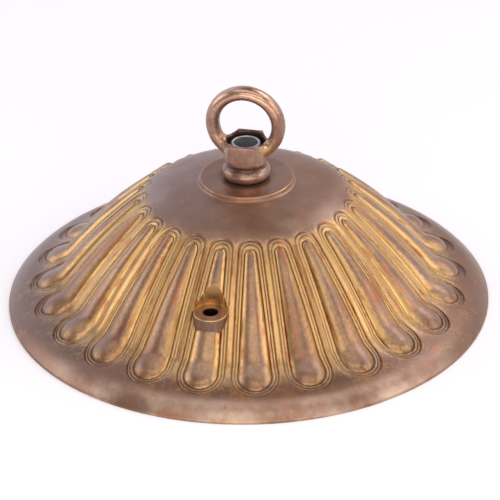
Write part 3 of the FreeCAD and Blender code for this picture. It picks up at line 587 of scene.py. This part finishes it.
boss = {
    "place": 51.0, "height": 22.45, "radius": 5.44, "deep": 8.0, "sides": 64,
    "bevel": 0.25, "bevelSteps": 3,
    # the cutters of the hole and of the spot face, which is a hair narrower than the boss
    "hole": 2.4, "holeSides": 40, "holeTop": 40.0, "spotGap": 0.002, "spotRise": 30.0,
    # the block behind the boss, square to the flank
    "backWidth": 10.0, "backSink": 2.0, "backDeep": 4.0, "backUp": 7.0, "backDown": 3.0,
}
shellLook = {
    "metal": (0.66, 0.4, 0.145), "patina": (0.25, 0.12, 0.065), "film": (0.325, 0.195, 0.138),
    # the fourth colour is a pale painted highlight for the rim's front, the fifth painted shade for the
    # rest of the rim
    "paleHighlight": (0.6, 0.42, 0.32), "shade": (0.18, 0.085, 0.042), "rust": (0.43, 0.13, 0.045),
    "coat": 0.7, "coatRough": 0.3, "bump": 0.35, "grain": 0.00012,
    "brightAll": 0.08, "rustAll": 0.15, "rustInside": 0.2, "outsideFrom": (-0.2, -0.02),
    # the beads, from their edge to the crest, and the bands beside them
    "bead": (0.1, 0.6, 0.95, 0.22), "bandEnd": (0.2, 3.2, 1.0, 0.15), "bandBright": 0.78, "bandLines": 0.3,
    "bandPhase": -math.pi / 2 - 0.5, "flankTop": (31.0, 36.0), "flankTip": (55.0, 74.0, 1.0, 0.12),
    # red-brown streaks along the flutes and mottles on the rim
    "streak": (0.75, 0.08, 1.0), "streakFrom": (0.5, 0.64), "streakRust": 0.8,
    "mottleScale": 75.0, "mottleFrom": (0.5, 0.62), "mottleRadius": (68.0, 73.0), "mottleRust": 0.35,
    # the rim: a painted highlight where it faces forward and painted shade elsewhere
    "forward": (0.24, -0.97), "forwardFrom": (30.0, 66.0), "paleHighlightRadius": (73.5, 77.0),
    "frontHighlightRadius": (72.0, 76.0), "shadeRadius": (66.5, 70.0),
    # the seat's edge, a painted highlight with orange rust, and its face
    "seatEdgeIn": (15.05, 15.2), "seatEdgeOut": (15.4, 15.5, 1.0, 0.0), "seatEdgeTop": (-0.5, -0.3),
    "seatEdgeHighlight": 0.6, "seatEdgeRust": 0.9, "seatFace": (15.0, 15.3, 1.0, 0.0),
    # painted shade in the grooves: their places between bead and outline, their half widths and their
    # strengths
    "grooves": [(0.03, 0.1, 0.6), (0.47, 0.1, 0.55), (0.89, 0.1, 0.6)], "grooveCore": 0.2,
    # painted shade on the seat round the loop's foot
    "footShade": 0.4, "footRadius": (8.2, 10.2, 1.0, 0.0),
}

bossLook = {
    # the edge and arch values paint a highlight along the ring's edge and the rim of the spot face
    "reach": (0.02, 0.3, 1.0, 0.0), "above": (0.1, 0.5), "edgeUp": (-0.5, -0.2), "edgeOut": (-0.6, -0.35),
    "archHighlight": (0.06, 0.3, 1.0, 0.0), "archHighlightShare": 0.7, "wallBright": 0.6, "edgeBright": 0.95,
    # the side and hole values paint shade under the ring and in the screw hole
    "ringBright": 0.12, "ringRust": 0.4, "sideBelow": (-0.4, -0.2, 1.0, 0.0), "sideShade": 0.35,
    "holeReach": (0.05, 0.2, 1.0, 0.0), "holeShade": 0.95,
}


def rampedFrom(tree, value, start, steps):
    # a ramp whose ends are counted from a size of the piece
    low, high, *ends = steps
    return ramped(tree, value, start + low, start + high, *ends)


def flankBright(tree, plan):
    # bright on the bead's sides and in the bands beside it, on the flank more than at its ends
    inside = maths(tree, "LESS_THAN", plan.outputs["Bead"], 0.0)
    band = maths(tree, "GREATER_THAN", plan.outputs["Bead"], 0.0)
    band = times(tree, band, ramped(tree, plan.outputs["Outline"], *shellLook["bandEnd"]))
    wave = maths(tree, "SINE", added(tree, plan.outputs["Share"], 4 * math.pi, shellLook["bandPhase"]))
    bandBright = added(tree, wave, shellLook["bandLines"], shellLook["bandBright"])
    bright = times(tree, inside, ramped(tree, plan.outputs["Depth"], *shellLook["bead"]))
    bright = added(tree, band, bandBright, bright)
    flank = times(tree, ramped(tree, plan.outputs["Radius"], *shellLook["flankTop"]),
                  ramped(tree, plan.outputs["Radius"], *shellLook["flankTip"]))
    return maths(tree, "ADD", times(tree, bright, flank), shellLook["brightAll"]), flank


def bossMasks(tree, place):
    # the two bosses: where they are, their wall above, the painted highlight along their edges and the
    # distance from their axis
    x, y, z = place
    off = maths(tree, "SUBTRACT", maths(tree, "ABSOLUTE", y), boss["place"])
    away = distance(tree, off, times(tree, x, x))
    atBoss = rampedFrom(tree, away, boss["radius"], bossLook["reach"])
    above = rampedFrom(tree, z, boss["height"], bossLook["above"])
    edge = times(tree, rampedFrom(tree, z, boss["height"], bossLook["edgeUp"]),
                 rampedFrom(tree, away, boss["radius"], bossLook["edgeOut"]))
    edge = times(tree, edge, otherwise(tree, above))
    archHighlight = maths(tree, "ABSOLUTE", maths(tree, "SUBTRACT", away, boss["radius"]))
    archHighlight = times(tree, ramped(tree, archHighlight, *bossLook["archHighlight"]), above)
    edge = maths(tree, "MAXIMUM", edge, times(tree, archHighlight, bossLook["archHighlightShare"]))
    return atBoss, above, edge, away


def rimFilmHighlightShade(tree, place, radius):
    # the thin film's colour: a pale painted highlight on the front of the rim, dark brown painted shade on
    # the rest of it
    aside, ahead = shellLook["forward"]
    forward = added(tree, place[0], aside, times(tree, place[1], ahead))
    forward = ramped(tree, forward, *shellLook["forwardFrom"])
    rimHighlight = times(tree, forward, ramped(tree, radius, *shellLook["paleHighlightRadius"]))
    film = blended(tree, rimHighlight, shellLook["film"], shellLook["paleHighlight"])
    frontHighlight = times(tree, forward, ramped(tree, radius, *shellLook["frontHighlightRadius"]))
    rimShade = times(tree, ramped(tree, radius, *shellLook["shadeRadius"]), otherwise(tree, frontHighlight))
    return blended(tree, rimShade, film, shellLook["shade"])


def shellPaintedShade(tree, share, radius, atBoss, side, away):
    # painted shade in the screw holes, round the loop's foot, under the bosses and in the grooves
    paintedShade = times(tree, rampedFrom(tree, away, boss["hole"], bossLook["holeReach"]), bossLook["holeShade"])
    foot = ramped(tree, radius, *shellLook["footRadius"])
    paintedShade = added(tree, foot, shellLook["footShade"], paintedShade)
    paintedShade = added(tree, side, bossLook["sideShade"], paintedShade)
    for middle, wide, strong in shellLook["grooves"]:
        off = maths(tree, "ABSOLUTE", maths(tree, "SUBTRACT", share, middle))
        groove = ramped(tree, off, wide * shellLook["grooveCore"], wide, 1.0, 0.0)
        paintedShade = added(tree, times(tree, groove, otherwise(tree, atBoss)), strong, paintedShade)
    return paintedShade


def shellMetal():
    material, tree, shader = newMaterial("agedBrassCast")
    plan = useGroup(tree, planGroup, Count=float(flute["count"]))
    radius = plan.outputs["Radius"]
    bright, flank = flankBright(tree, plan)
    spot, place = inMillimetres(tree)
    # the machined bosses: bright wall above, brown ring with a painted highlight on its edge and on the
    # spot face's rim, painted shade on the side below
    atBoss, above, edge, away = bossMasks(tree, place)
    bossBright = added(tree, edge, bossLook["edgeBright"], bossLook["ringBright"])
    bossBright = added(tree, above, bossLook["wallBright"], bossBright)
    bright = added(tree, atBoss, maths(tree, "SUBTRACT", bossBright, bright), bright)
    streak = noise(tree, stretched(tree, plan.outputs["Local"], *shellLook["streak"]), 1.0, 3.0, 0.6)
    streak = ramped(tree, streak, *shellLook["streakFrom"])
    streak = times(tree, streak, times(tree, flank, otherwise(tree, atBoss)))
    rustShare = added(tree, streak, shellLook["streakRust"], shellLook["rustAll"])
    flat = times(tree, atBoss, otherwise(tree, maths(tree, "MAXIMUM", above, edge)))
    rustShare = added(tree, flat, bossLook["ringRust"], rustShare)
    # orange-brown mottles on the rim, a painted highlight with orange rust along the seat's edge and a
    # smoother seat face
    mottle = ramped(tree, noise(tree, spot, shellLook["mottleScale"], 4.0, 0.65), *shellLook["mottleFrom"])
    mottle = times(tree, mottle, ramped(tree, radius, *shellLook["mottleRadius"]))
    rustShare = added(tree, mottle, shellLook["mottleRust"], rustShare)
    seatEdge = times(tree, ramped(tree, radius, *shellLook["seatEdgeIn"]),
                     ramped(tree, radius, *shellLook["seatEdgeOut"]))
    seatEdge = times(tree, seatEdge, rampedFrom(tree, place[2], seatTop, shellLook["seatEdgeTop"]))
    # painted highlight along the seat's edge
    bright = added(tree, seatEdge, shellLook["seatEdgeHighlight"], bright)
    rustShare = added(tree, seatEdge, shellLook["seatEdgeRust"], rustShare)
    side = times(tree, flat, rampedFrom(tree, place[2], boss["height"], bossLook["sideBelow"]))
    # painted shade from the holes, the loop's foot, the bosses' sides and the grooves
    paintedShade = shellPaintedShade(tree, plan.outputs["Share"], radius, atBoss, side, away)
    # the inside is plain dull casting: its faces look down
    outside = ramped(tree, upShare(tree, "True Normal"), *shellLook["outsideFrom"])
    rustShare = maths(tree, "SUBTRACT", rustShare, shellLook["rustInside"])
    rustShare = added(tree, rustShare, outside, shellLook["rustInside"])
    aged = useGroup(tree, agedGroup, Bright=times(tree, bright, outside), Metal=shellLook["metal"],
                    Patina=shellLook["patina"], Film=rimFilmHighlightShade(tree, place, radius), Rust=shellLook["rust"],
                    RustShare=rustShare, Grime=times(tree, paintedShade, outside),
                    Polish=ramped(tree, radius, *shellLook["seatFace"]), Vector=spot)
    finish(tree, shader, aged, shellLook)
    return material


steelLook = {
    "bright": 0.85, "metal": (0.8, 0.82, 0.85), "patina": (0.45, 0.47, 0.5), "film": (0.55, 0.58, 0.62),
    "rust": (0.3, 0.3, 0.3), "rustShare": 0.1, "coat": 0.0, "coatRough": 0.2, "bump": 0.3, "grain": 0.0001,
}
nutLook = {
    "bright": 0.7, "metal": (0.75, 0.55, 0.24), "patina": (0.45, 0.32, 0.16), "film": (0.5, 0.38, 0.22),
    "rust": (0.4, 0.2, 0.08), "rustShare": 0.1, "coat": 0.1, "coatRough": 0.2, "bump": 0.3, "grain": 0.0001,
}


def plainAged(name, look):
    material, tree, shader = newMaterial(name)
    coordinates = tree.nodes.new("ShaderNodeTexCoord")
    aged = useGroup(tree, agedGroup, Bright=look["bright"], Metal=look["metal"], Patina=look["patina"],
                    Film=look["film"], Rust=look["rust"], RustShare=look["rustShare"],
                    Vector=coordinates.outputs["Object"])
    finish(tree, shader, aged, look)
    return material


loopLook = {
    "metal": (0.68, 0.42, 0.29), "gold": (0.62, 0.42, 0.2), "patina": (0.27, 0.125, 0.08),
    "film": (0.35, 0.215, 0.17), "rust": (0.3, 0.1, 0.06), "rustShare": 0.25, "polish": 0.6,
    "coat": 0.35, "coatRough": 0.18, "bump": 0.3, "grain": 0.0001, "bright": 0.25,
    # brass where the arms run into the hexagon
    "patchIn": (4.6, 6.4), "patchOut": (10.0, 12.5, 1.0, 0.0), "patchLow": (50.0, 53.0),
    "patchHigh": (58.0, 62.0, 1.0, 0.0), "patchScale": 330.0, "patchFrom": (0.42, 0.56), "patchBright": 0.5,
    # edges rubbed bright, a painted highlight on the top, painted shade in the mouth
    "edgeRadius": 0.0003, "edgeFrom": (0.82, 0.99, 1.0, 0.0), "edgeBright": 0.5, "topFrom": (64.0, 75.0),
    "topHighlight": 0.5, "mouthRadius": (6.4, 6.9, 1.0, 0.0), "mouthTop": (59.5, 61.0, 1.0, 0.0),
    "mouthShade": 0.8,
}


def loopMetal():
    material, tree, shader = newMaterial("loopBronze")
    spot, (x, y, z) = inMillimetres(tree)
    across = maths(tree, "ABSOLUTE", x)
    patch = ramped(tree, across, *loopLook["patchIn"])
    patch = times(tree, patch, ramped(tree, across, *loopLook["patchOut"]))
    patch = times(tree, patch, ramped(tree, z, *loopLook["patchLow"]))
    patch = times(tree, patch, ramped(tree, z, *loopLook["patchHigh"]))
    spots = noise(tree, spot, loopLook["patchScale"], 4.0, 0.6)
    patch = times(tree, patch, ramped(tree, spots, *loopLook["patchFrom"]))
    # an edge is where a rounded normal leaves the true one
    soft = tree.nodes.new("ShaderNodeBevel")
    soft.inputs["Radius"].default_value = loopLook["edgeRadius"]
    faced = tree.nodes.new("ShaderNodeNewGeometry")
    both = tree.nodes.new("ShaderNodeVectorMath")
    both.operation = "DOT_PRODUCT"
    tree.links.new(soft.outputs[0], both.inputs[0])
    tree.links.new(faced.outputs["Normal"], both.inputs[1])
    edge = ramped(tree, both.outputs["Value"], *loopLook["edgeFrom"])
    bright = added(tree, edge, loopLook["edgeBright"], loopLook["bright"])
    bright = added(tree, patch, loopLook["patchBright"], bright)
    # a painted highlight on the loop's top
    atTop = ramped(tree, z, *loopLook["topFrom"])
    bright = added(tree, atTop, loopLook["topHighlight"], bright)
    radius = distance(tree, x, times(tree, y, y))
    # painted shade in the hexagon's mouth
    mouth = ramped(tree, radius, *loopLook["mouthRadius"])
    mouth = times(tree, mouth, ramped(tree, z, *loopLook["mouthTop"]))
    metal = blended(tree, patch, loopLook["metal"], loopLook["gold"])
    aged = useGroup(tree, agedGroup, Bright=bright, Metal=metal,
                    Patina=loopLook["patina"], Film=loopLook["film"], Rust=loopLook["rust"],
                    RustShare=loopLook["rustShare"], Grime=times(tree, mouth, loopLook["mouthShade"]),
                    Polish=loopLook["polish"], Vector=spot)
    finish(tree, shader, aged, loopLook)
    return material


shellMaterial = shellMetal()
loopMaterial = loopMetal()
steelMaterial = plainAged("platedSteel", steelLook)
nutMaterial = plainAged("nutBrass", nutLook)
print("materials ready")


# the shell: one wedge, repeated round the axis, then the two screw bosses

cleaning = {"merge": 1e-6, "thin": 1e-7, "sharp": math.radians(38)}


def cleanMesh(thing):
    # closes the seams, turns the faces outwards and marks the sharp edges
    work = bmesh.new()
    work.from_mesh(thing.data)
    bmesh.ops.remove_doubles(work, verts=work.verts, dist=cleaning["merge"])
    bmesh.ops.dissolve_degenerate(work, dist=cleaning["thin"], edges=work.edges)
    bmesh.ops.recalc_face_normals(work, faces=work.faces)
    count = sum(len(f.verts) - 2 for f in work.faces)
    loose = sum(1 for e in work.edges if not e.is_manifold)
    work.to_mesh(thing.data)
    work.free()
    for polygon in thing.data.polygons:
        polygon.use_smooth = True
    thing.data.set_sharp_from_angle(angle=cleaning["sharp"])
    print(thing.name, "triangles", count, "open edges", loose)


def solidPrism(name, outline, low, high):
    # an upright block over a closed plan outline
    count = len(outline)
    points = [(x, y, low) for x, y in outline] + [(x, y, high) for x, y in outline]
    faces = [tuple(reversed(range(count))), tuple(range(count, 2 * count))]
    faces += [(n, (n + 1) % count, count + (n + 1) % count, count + n) for n in range(count)]
    return newMesh(name, points, faces)


def roundOutline(y, radius, sides):
    turns = [2 * math.pi * n / sides for n in range(sides)]
    return [(radius * math.cos(turn), y + radius * math.sin(turn)) for turn in turns]


def softenTop(thing):
    # bevels the upper edge of a prism
    work = bmesh.new()
    work.from_mesh(thing.data)
    top = max(v.co.z for v in work.verts)
    edges = [e for e in work.edges if all(abs(v.co.z - top) < cleaning["thin"] for v in e.verts)]
    bmesh.ops.bevel(work, geom=edges, offset=boss["bevel"] * mm, segments=boss["bevelSteps"],
                    profile=0.5, affect="EDGES")
    work.to_mesh(thing.data)
    work.free()


def combine(thing, tool, operation):
    modifier = thing.modifiers.new("Combine", "BOOLEAN")
    modifier.operation = operation
    modifier.solver = "EXACT"
    modifier.object = tool
    runModifier(thing, modifier)
    mesh = tool.data
    bpy.data.objects.remove(tool)
    bpy.data.meshes.remove(mesh)


def buildBacking(side):
    # the metal behind a boss, square to the flank
    z, lean, level = surfaceAt(boss["place"])
    upper, lower = -boss["backSink"], -boss["backSink"] - boss["backDeep"]
    corners = []
    for down, out in ((-boss["backUp"], upper), (-boss["backUp"], lower),
                      (boss["backDown"], lower), (boss["backDown"], upper)):
        corners.append((boss["place"] + down * level + out * lean, z - down * lean + out * level))
    half = boss["backWidth"] / 2
    points = [(x, side * y, h) for x in (-half, half) for y, h in corners]
    faces = [(0, 1, 2, 3), (7, 6, 5, 4), (0, 4, 5, 1), (1, 5, 6, 2), (2, 6, 7, 3), (3, 7, 4, 0)]
    block = newMesh("backing", points, faces)
    cleanMesh(block)
    return block


def buildShell():
    points, faces = buildWedge()
    thing = newMesh("canopy_shell_fine", points, faces)
    modifier = thing.modifiers.new("Repeat", "NODES")
    modifier.node_group = repeatTree()
    setInput(modifier, "Count", flute["count"])
    setInput(modifier, "Weld", flute["weld"])
    setInput(modifier, "Material", shellMaterial)
    runModifier(thing, modifier)
    cleanMesh(thing)
    low, high = boss["height"] - boss["deep"], boss["height"]
    for side in (-1, 1):
        combine(thing, buildBacking(side), "UNION")
        middle = side * boss["place"]
        post = solidPrism("boss", roundOutline(middle, boss["radius"], boss["sides"]), low, high)
        softenTop(post)
        combine(thing, post, "UNION")
        spot = roundOutline(middle, boss["radius"] - boss["spotGap"], boss["sides"])
        combine(thing, solidPrism("spot", spot, high, high + boss["spotRise"]), "DIFFERENCE")
        hole = roundOutline(middle, boss["hole"], boss["holeSides"])
        combine(thing, solidPrism("hole", hole, 0, boss["holeTop"]), "DIFFERENCE")
    fit = section["fit"]
    thing.data.transform(Matrix.Diagonal((fit, fit, 1, 1)))
    cleanMesh(thing)
    return thing


def placePiece(thing, material, node):
    thing.data.materials.clear()
    thing.data.materials.append(material)
    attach(thing, "root")
    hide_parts(node)


placePiece(buildShell(), shellMaterial, "canopy_shell")
print("shell ready")


# the nipple with its fine thread

nipple = {
    "length": 25.0, "hexagonTop": 13.5, "sunk": 1.1, "radius": 5.0, "bore": 4.0, "pitch": 1.0,
    "depth": 0.3, "crestPower": 0.8, "sides": 48, "perPitch": 6, "bevel": 0.45, "boreBevel": 0.12,
}


def buildNipple():
    low = seatTop + nipple["hexagonTop"] - nipple["sunk"] - nipple["length"]
    length, bore, soft, sides = nipple["length"], nipple["bore"], nipple["boreBevel"], nipple["sides"]
    rows = int(length / nipple["pitch"] * nipple["perPitch"])
    points, faces = [], []
    for row in range(rows + 1):
        height = length * row / rows
        end = min(height, length - height)
        for side in range(sides):
            turn = 2 * math.pi * side / sides
            phase = (height / nipple["pitch"] - side / sides) % 1.0
            cut = nipple["depth"] * (0.5 - 0.5 * math.cos(2 * math.pi * phase)) ** nipple["crestPower"]
            radius = nipple["radius"] - max(cut, nipple["bevel"] - end)
            points.append((radius * math.cos(turn), radius * math.sin(turn), low + height))
    for height, radius in ((length, bore + soft), (length - soft, bore), (soft, bore), (0.0, bore + soft)):
        for side in range(sides):
            turn = 2 * math.pi * side / sides
            points.append((radius * math.cos(turn), radius * math.sin(turn), low + height))
    rings = rows + 5
    for ring in range(rings):
        here, there = ring * sides, (ring + 1) % rings * sides
        for side in range(sides):
            beside = (side + 1) % sides
            faces.append((here + side, here + beside, there + beside, there + side))
    thing = newMesh("threaded_nipple_fine", points, faces)
    cleanMesh(thing)
    return thing


placePiece(buildNipple(), steelMaterial, "threaded_nipple")
print("nipple ready")


# the loop, cast in one: its edges softened and its arms run into the hexagon

loopShape = {
    "voxel": 0.28, "ease": 4, "blendTurns": 90, "smooth": 0.5,
    "blendAcross": (4.2, 5.2, 9.0, 10.8), "blendHeight": (53.5, 55.5, 60.5, 62.5),
}


def plateau(value, limits):
    a, b, c, d = limits
    return max(0.0, min(1.0, (value - a) / (b - a), (d - value) / (d - c)))


def buildLoop():
    source = bpy.data.objects["hanging_loop"]
    thing = bpy.data.objects.new("hanging_loop_fine", source.data.copy())
    thing.data.transform(source.matrix_world)
    bpy.context.scene.collection.objects.link(thing)
    # the copy's loose triangles are merged first
    work = bmesh.new()
    work.from_mesh(thing.data)
    bmesh.ops.remove_doubles(work, verts=work.verts, dist=cleaning["merge"])
    work.to_mesh(thing.data)
    work.free()
    remesh = thing.modifiers.new("Remesh", "REMESH")
    remesh.mode = "VOXEL"
    remesh.voxel_size = loopShape["voxel"] * mm
    runModifier(thing, remesh)
    group = thing.vertex_groups.new(name="blend")
    for vertex in thing.data.vertices:
        share = plateau(abs(vertex.co.x) / mm, loopShape["blendAcross"])
        share *= plateau(vertex.co.z / mm, loopShape["blendHeight"])
        if share > 0:
            group.add([vertex.index], share, "REPLACE")
    for turns, name in ((loopShape["blendTurns"], "blend"), (loopShape["ease"], "")):
        smooth = thing.modifiers.new("Smooth", "SMOOTH")
        smooth.factor = loopShape["smooth"]
        smooth.iterations = turns
        smooth.vertex_group = name
        runModifier(thing, smooth)
    cleanMesh(thing)
    return thing


placePiece(buildLoop(), loopMaterial, "hanging_loop")
print("loop ready")

for node, material in (("back_washer", steelMaterial), ("lock_nut", nutMaterial)):
    fastener = bpy.data.objects[node]
    fastener.data.materials.clear()
    fastener.data.materials.append(material)
print("washer and nut finished")


# floor, light and camera

floorSet = {"size": 3.0, "colour": (0.93, 0.925, 0.94), "rough": 0.9, "gloss": 0.1,
            "lift": 0.2, "liftColour": (0.985, 0.97, 1.0)}


def buildFloor():
    size = floorSet["size"]
    mesh = bpy.data.meshes.new("floor")
    corners = [(-size, -size, 0), (size, -size, 0), (size, size, 0), (-size, size, 0)]
    mesh.from_pydata(corners, [], [(0, 1, 2, 3)])
    floor = bpy.data.objects.new("floor", mesh)
    bpy.context.scene.collection.objects.link(floor)
    material, tree, paper = newMaterial("floorPaper")
    paper.inputs["Base Color"].default_value = (*floorSet["colour"], 1)
    paper.inputs["Roughness"].default_value = floorSet["rough"]
    paper.inputs["Specular IOR Level"].default_value = floorSet["gloss"]
    # lifted for the camera alone, so that the paper is white and keeps its shadow
    seen = tree.nodes.new("ShaderNodeLightPath")
    lift = times(tree, seen.outputs["Is Camera Ray"], floorSet["lift"])
    tree.links.new(lift, paper.inputs["Emission Strength"])
    paper.inputs["Emission Color"].default_value = (*floorSet["liftColour"], 1)
    mesh.materials.append(material)


studio = {
    "white": (0.985, 0.975, 1.0), "horizon": (0.3, 0.28, 0.3), "zenith": (0.16, 0.14, 0.15),
    "behindLow": (0.6, 0.5, 0.5), "behindHigh": (0.09, 0.07, 0.07), "left": (0.76, 0.85, 1.1),
    "right": (0.86, 0.82, 0.88), "rise": (0.1, 0.95), "backFrom": (0.0, 0.45), "behindRise": (0.42, 0.7),
    "sideFrom": (0.1, 0.6), "aim": (0, 0, 0.03),
    # name, place, width, height, watts, colour
    "lamps": [
        ("frontLow", (0.35, -1.1, 0.3), 1.6, 0.5, 6.2, (1.0, 0.93, 0.82)),
        ("frontHigh", (0.2, -0.7, 0.95), 1.2, 0.5, 3.1, (1.0, 0.94, 0.88)),
        ("top", (0.0, 0.0, 1.2), 1.4, 0.5, 2.5, (1.0, 0.96, 0.96)),
        ("leftSide", (-1.0, -0.1, 0.45), 0.7, 0.7, 2.6, (0.98, 0.96, 0.98)),
        ("rightSide", (1.0, 0.0, 0.5), 0.7, 0.7, 2.7, (1.0, 0.95, 0.9)),
        ("backTop", (0.5, 0.75, 0.9), 0.8, 0.5, 2.5, (0.95, 0.93, 1.0)),
    ],
}


def buildWorld():
    # white for the camera; for the rest dark behind the object and above it, brighter at both sides
    world = bpy.data.worlds.new("studio")
    bpy.context.scene.world = world
    world.use_nodes = True
    tree = world.node_tree
    nodes, links = tree.nodes, tree.links
    aimed = nodes.new("ShaderNodeTexCoord")
    parts = nodes.new("ShaderNodeSeparateXYZ")
    links.new(aimed.outputs["Generated"], parts.inputs[0])
    x, y, z = parts.outputs
    sky = blended(tree, ramped(tree, z, *studio["rise"]), studio["horizon"], studio["zenith"])
    atBack = ramped(tree, y, *studio["backFrom"])
    behind = ramped(tree, z, *studio["behindRise"])
    behind = blended(tree, behind, studio["behindLow"], studio["behindHigh"])
    sky = blended(tree, atBack, sky, behind)
    for name, side in (("left", -1.0), ("right", 1.0)):
        toSide = ramped(tree, times(tree, x, side), *studio["sideFrom"])
        sky = blended(tree, times(tree, toSide, atBack), sky, studio[name])
    seen = nodes["Background"]
    seen.inputs["Color"].default_value = (*studio["white"], 1)
    around = nodes.new("ShaderNodeBackground")
    links.new(sky, around.inputs["Color"])
    path = nodes.new("ShaderNodeLightPath")
    choose = nodes.new("ShaderNodeMixShader")
    links.new(path.outputs["Is Camera Ray"], choose.inputs[0])
    links.new(around.outputs[0], choose.inputs[1])
    links.new(seen.outputs[0], choose.inputs[2])
    links.new(choose.outputs[0], nodes["World Output"].inputs["Surface"])


def addLamp(name, place, wide, high, watts, colour):
    lamp = bpy.data.lights.new(name, "AREA")
    lamp.shape = "RECTANGLE"
    lamp.size, lamp.size_y = wide, high
    lamp.energy = watts
    lamp.color = colour
    thing = bpy.data.objects.new(name, lamp)
    thing.location = place
    thing.rotation_euler = (Vector(studio["aim"]) - Vector(place)).to_track_quat("-Z", "Y").to_euler()
    bpy.context.scene.collection.objects.link(thing)


buildFloor()
buildWorld()
for lampValues in studio["lamps"]:
    addLamp(*lampValues)
print("floor and light ready")

# metres and radians; the focal length is in pixels of a picture 500 wide
cameraSet = {"distance": 0.88, "height": 0.512618, "roll": -0.017722, "turn": math.radians(13.64),
             "right": 0.00072448, "up": 0.01460712, "focal": 2628.934, "picture": 500,
             "sensor": 36, "clip": (0.01, 20)}


def buildCamera():
    turn, height = cameraSet["turn"], cameraSet["height"]
    back = Vector((math.sin(turn) * math.cos(height), -math.cos(turn) * math.cos(height), math.sin(height)))
    right = Vector((math.cos(turn), math.sin(turn), 0))
    above = back.cross(right)
    camera = bpy.data.objects.new("camera", bpy.data.cameras.new("camera"))
    camera.location = back * cameraSet["distance"] + right * cameraSet["right"] + above * cameraSet["up"]
    spin = Matrix((right, above, back)).transposed() @ Matrix.Rotation(cameraSet["roll"], 3, "Z")
    camera.rotation_euler = spin.to_euler()
    camera.data.sensor_width = cameraSet["sensor"]
    camera.data.lens = cameraSet["focal"] / cameraSet["picture"] * cameraSet["sensor"]
    camera.data.clip_start, camera.data.clip_end = cameraSet["clip"]
    bpy.context.scene.collection.objects.link(camera)
    bpy.context.scene.camera = camera


buildCamera()
bpy.context.scene.view_settings.view_transform = "Standard"
print("camera ready")
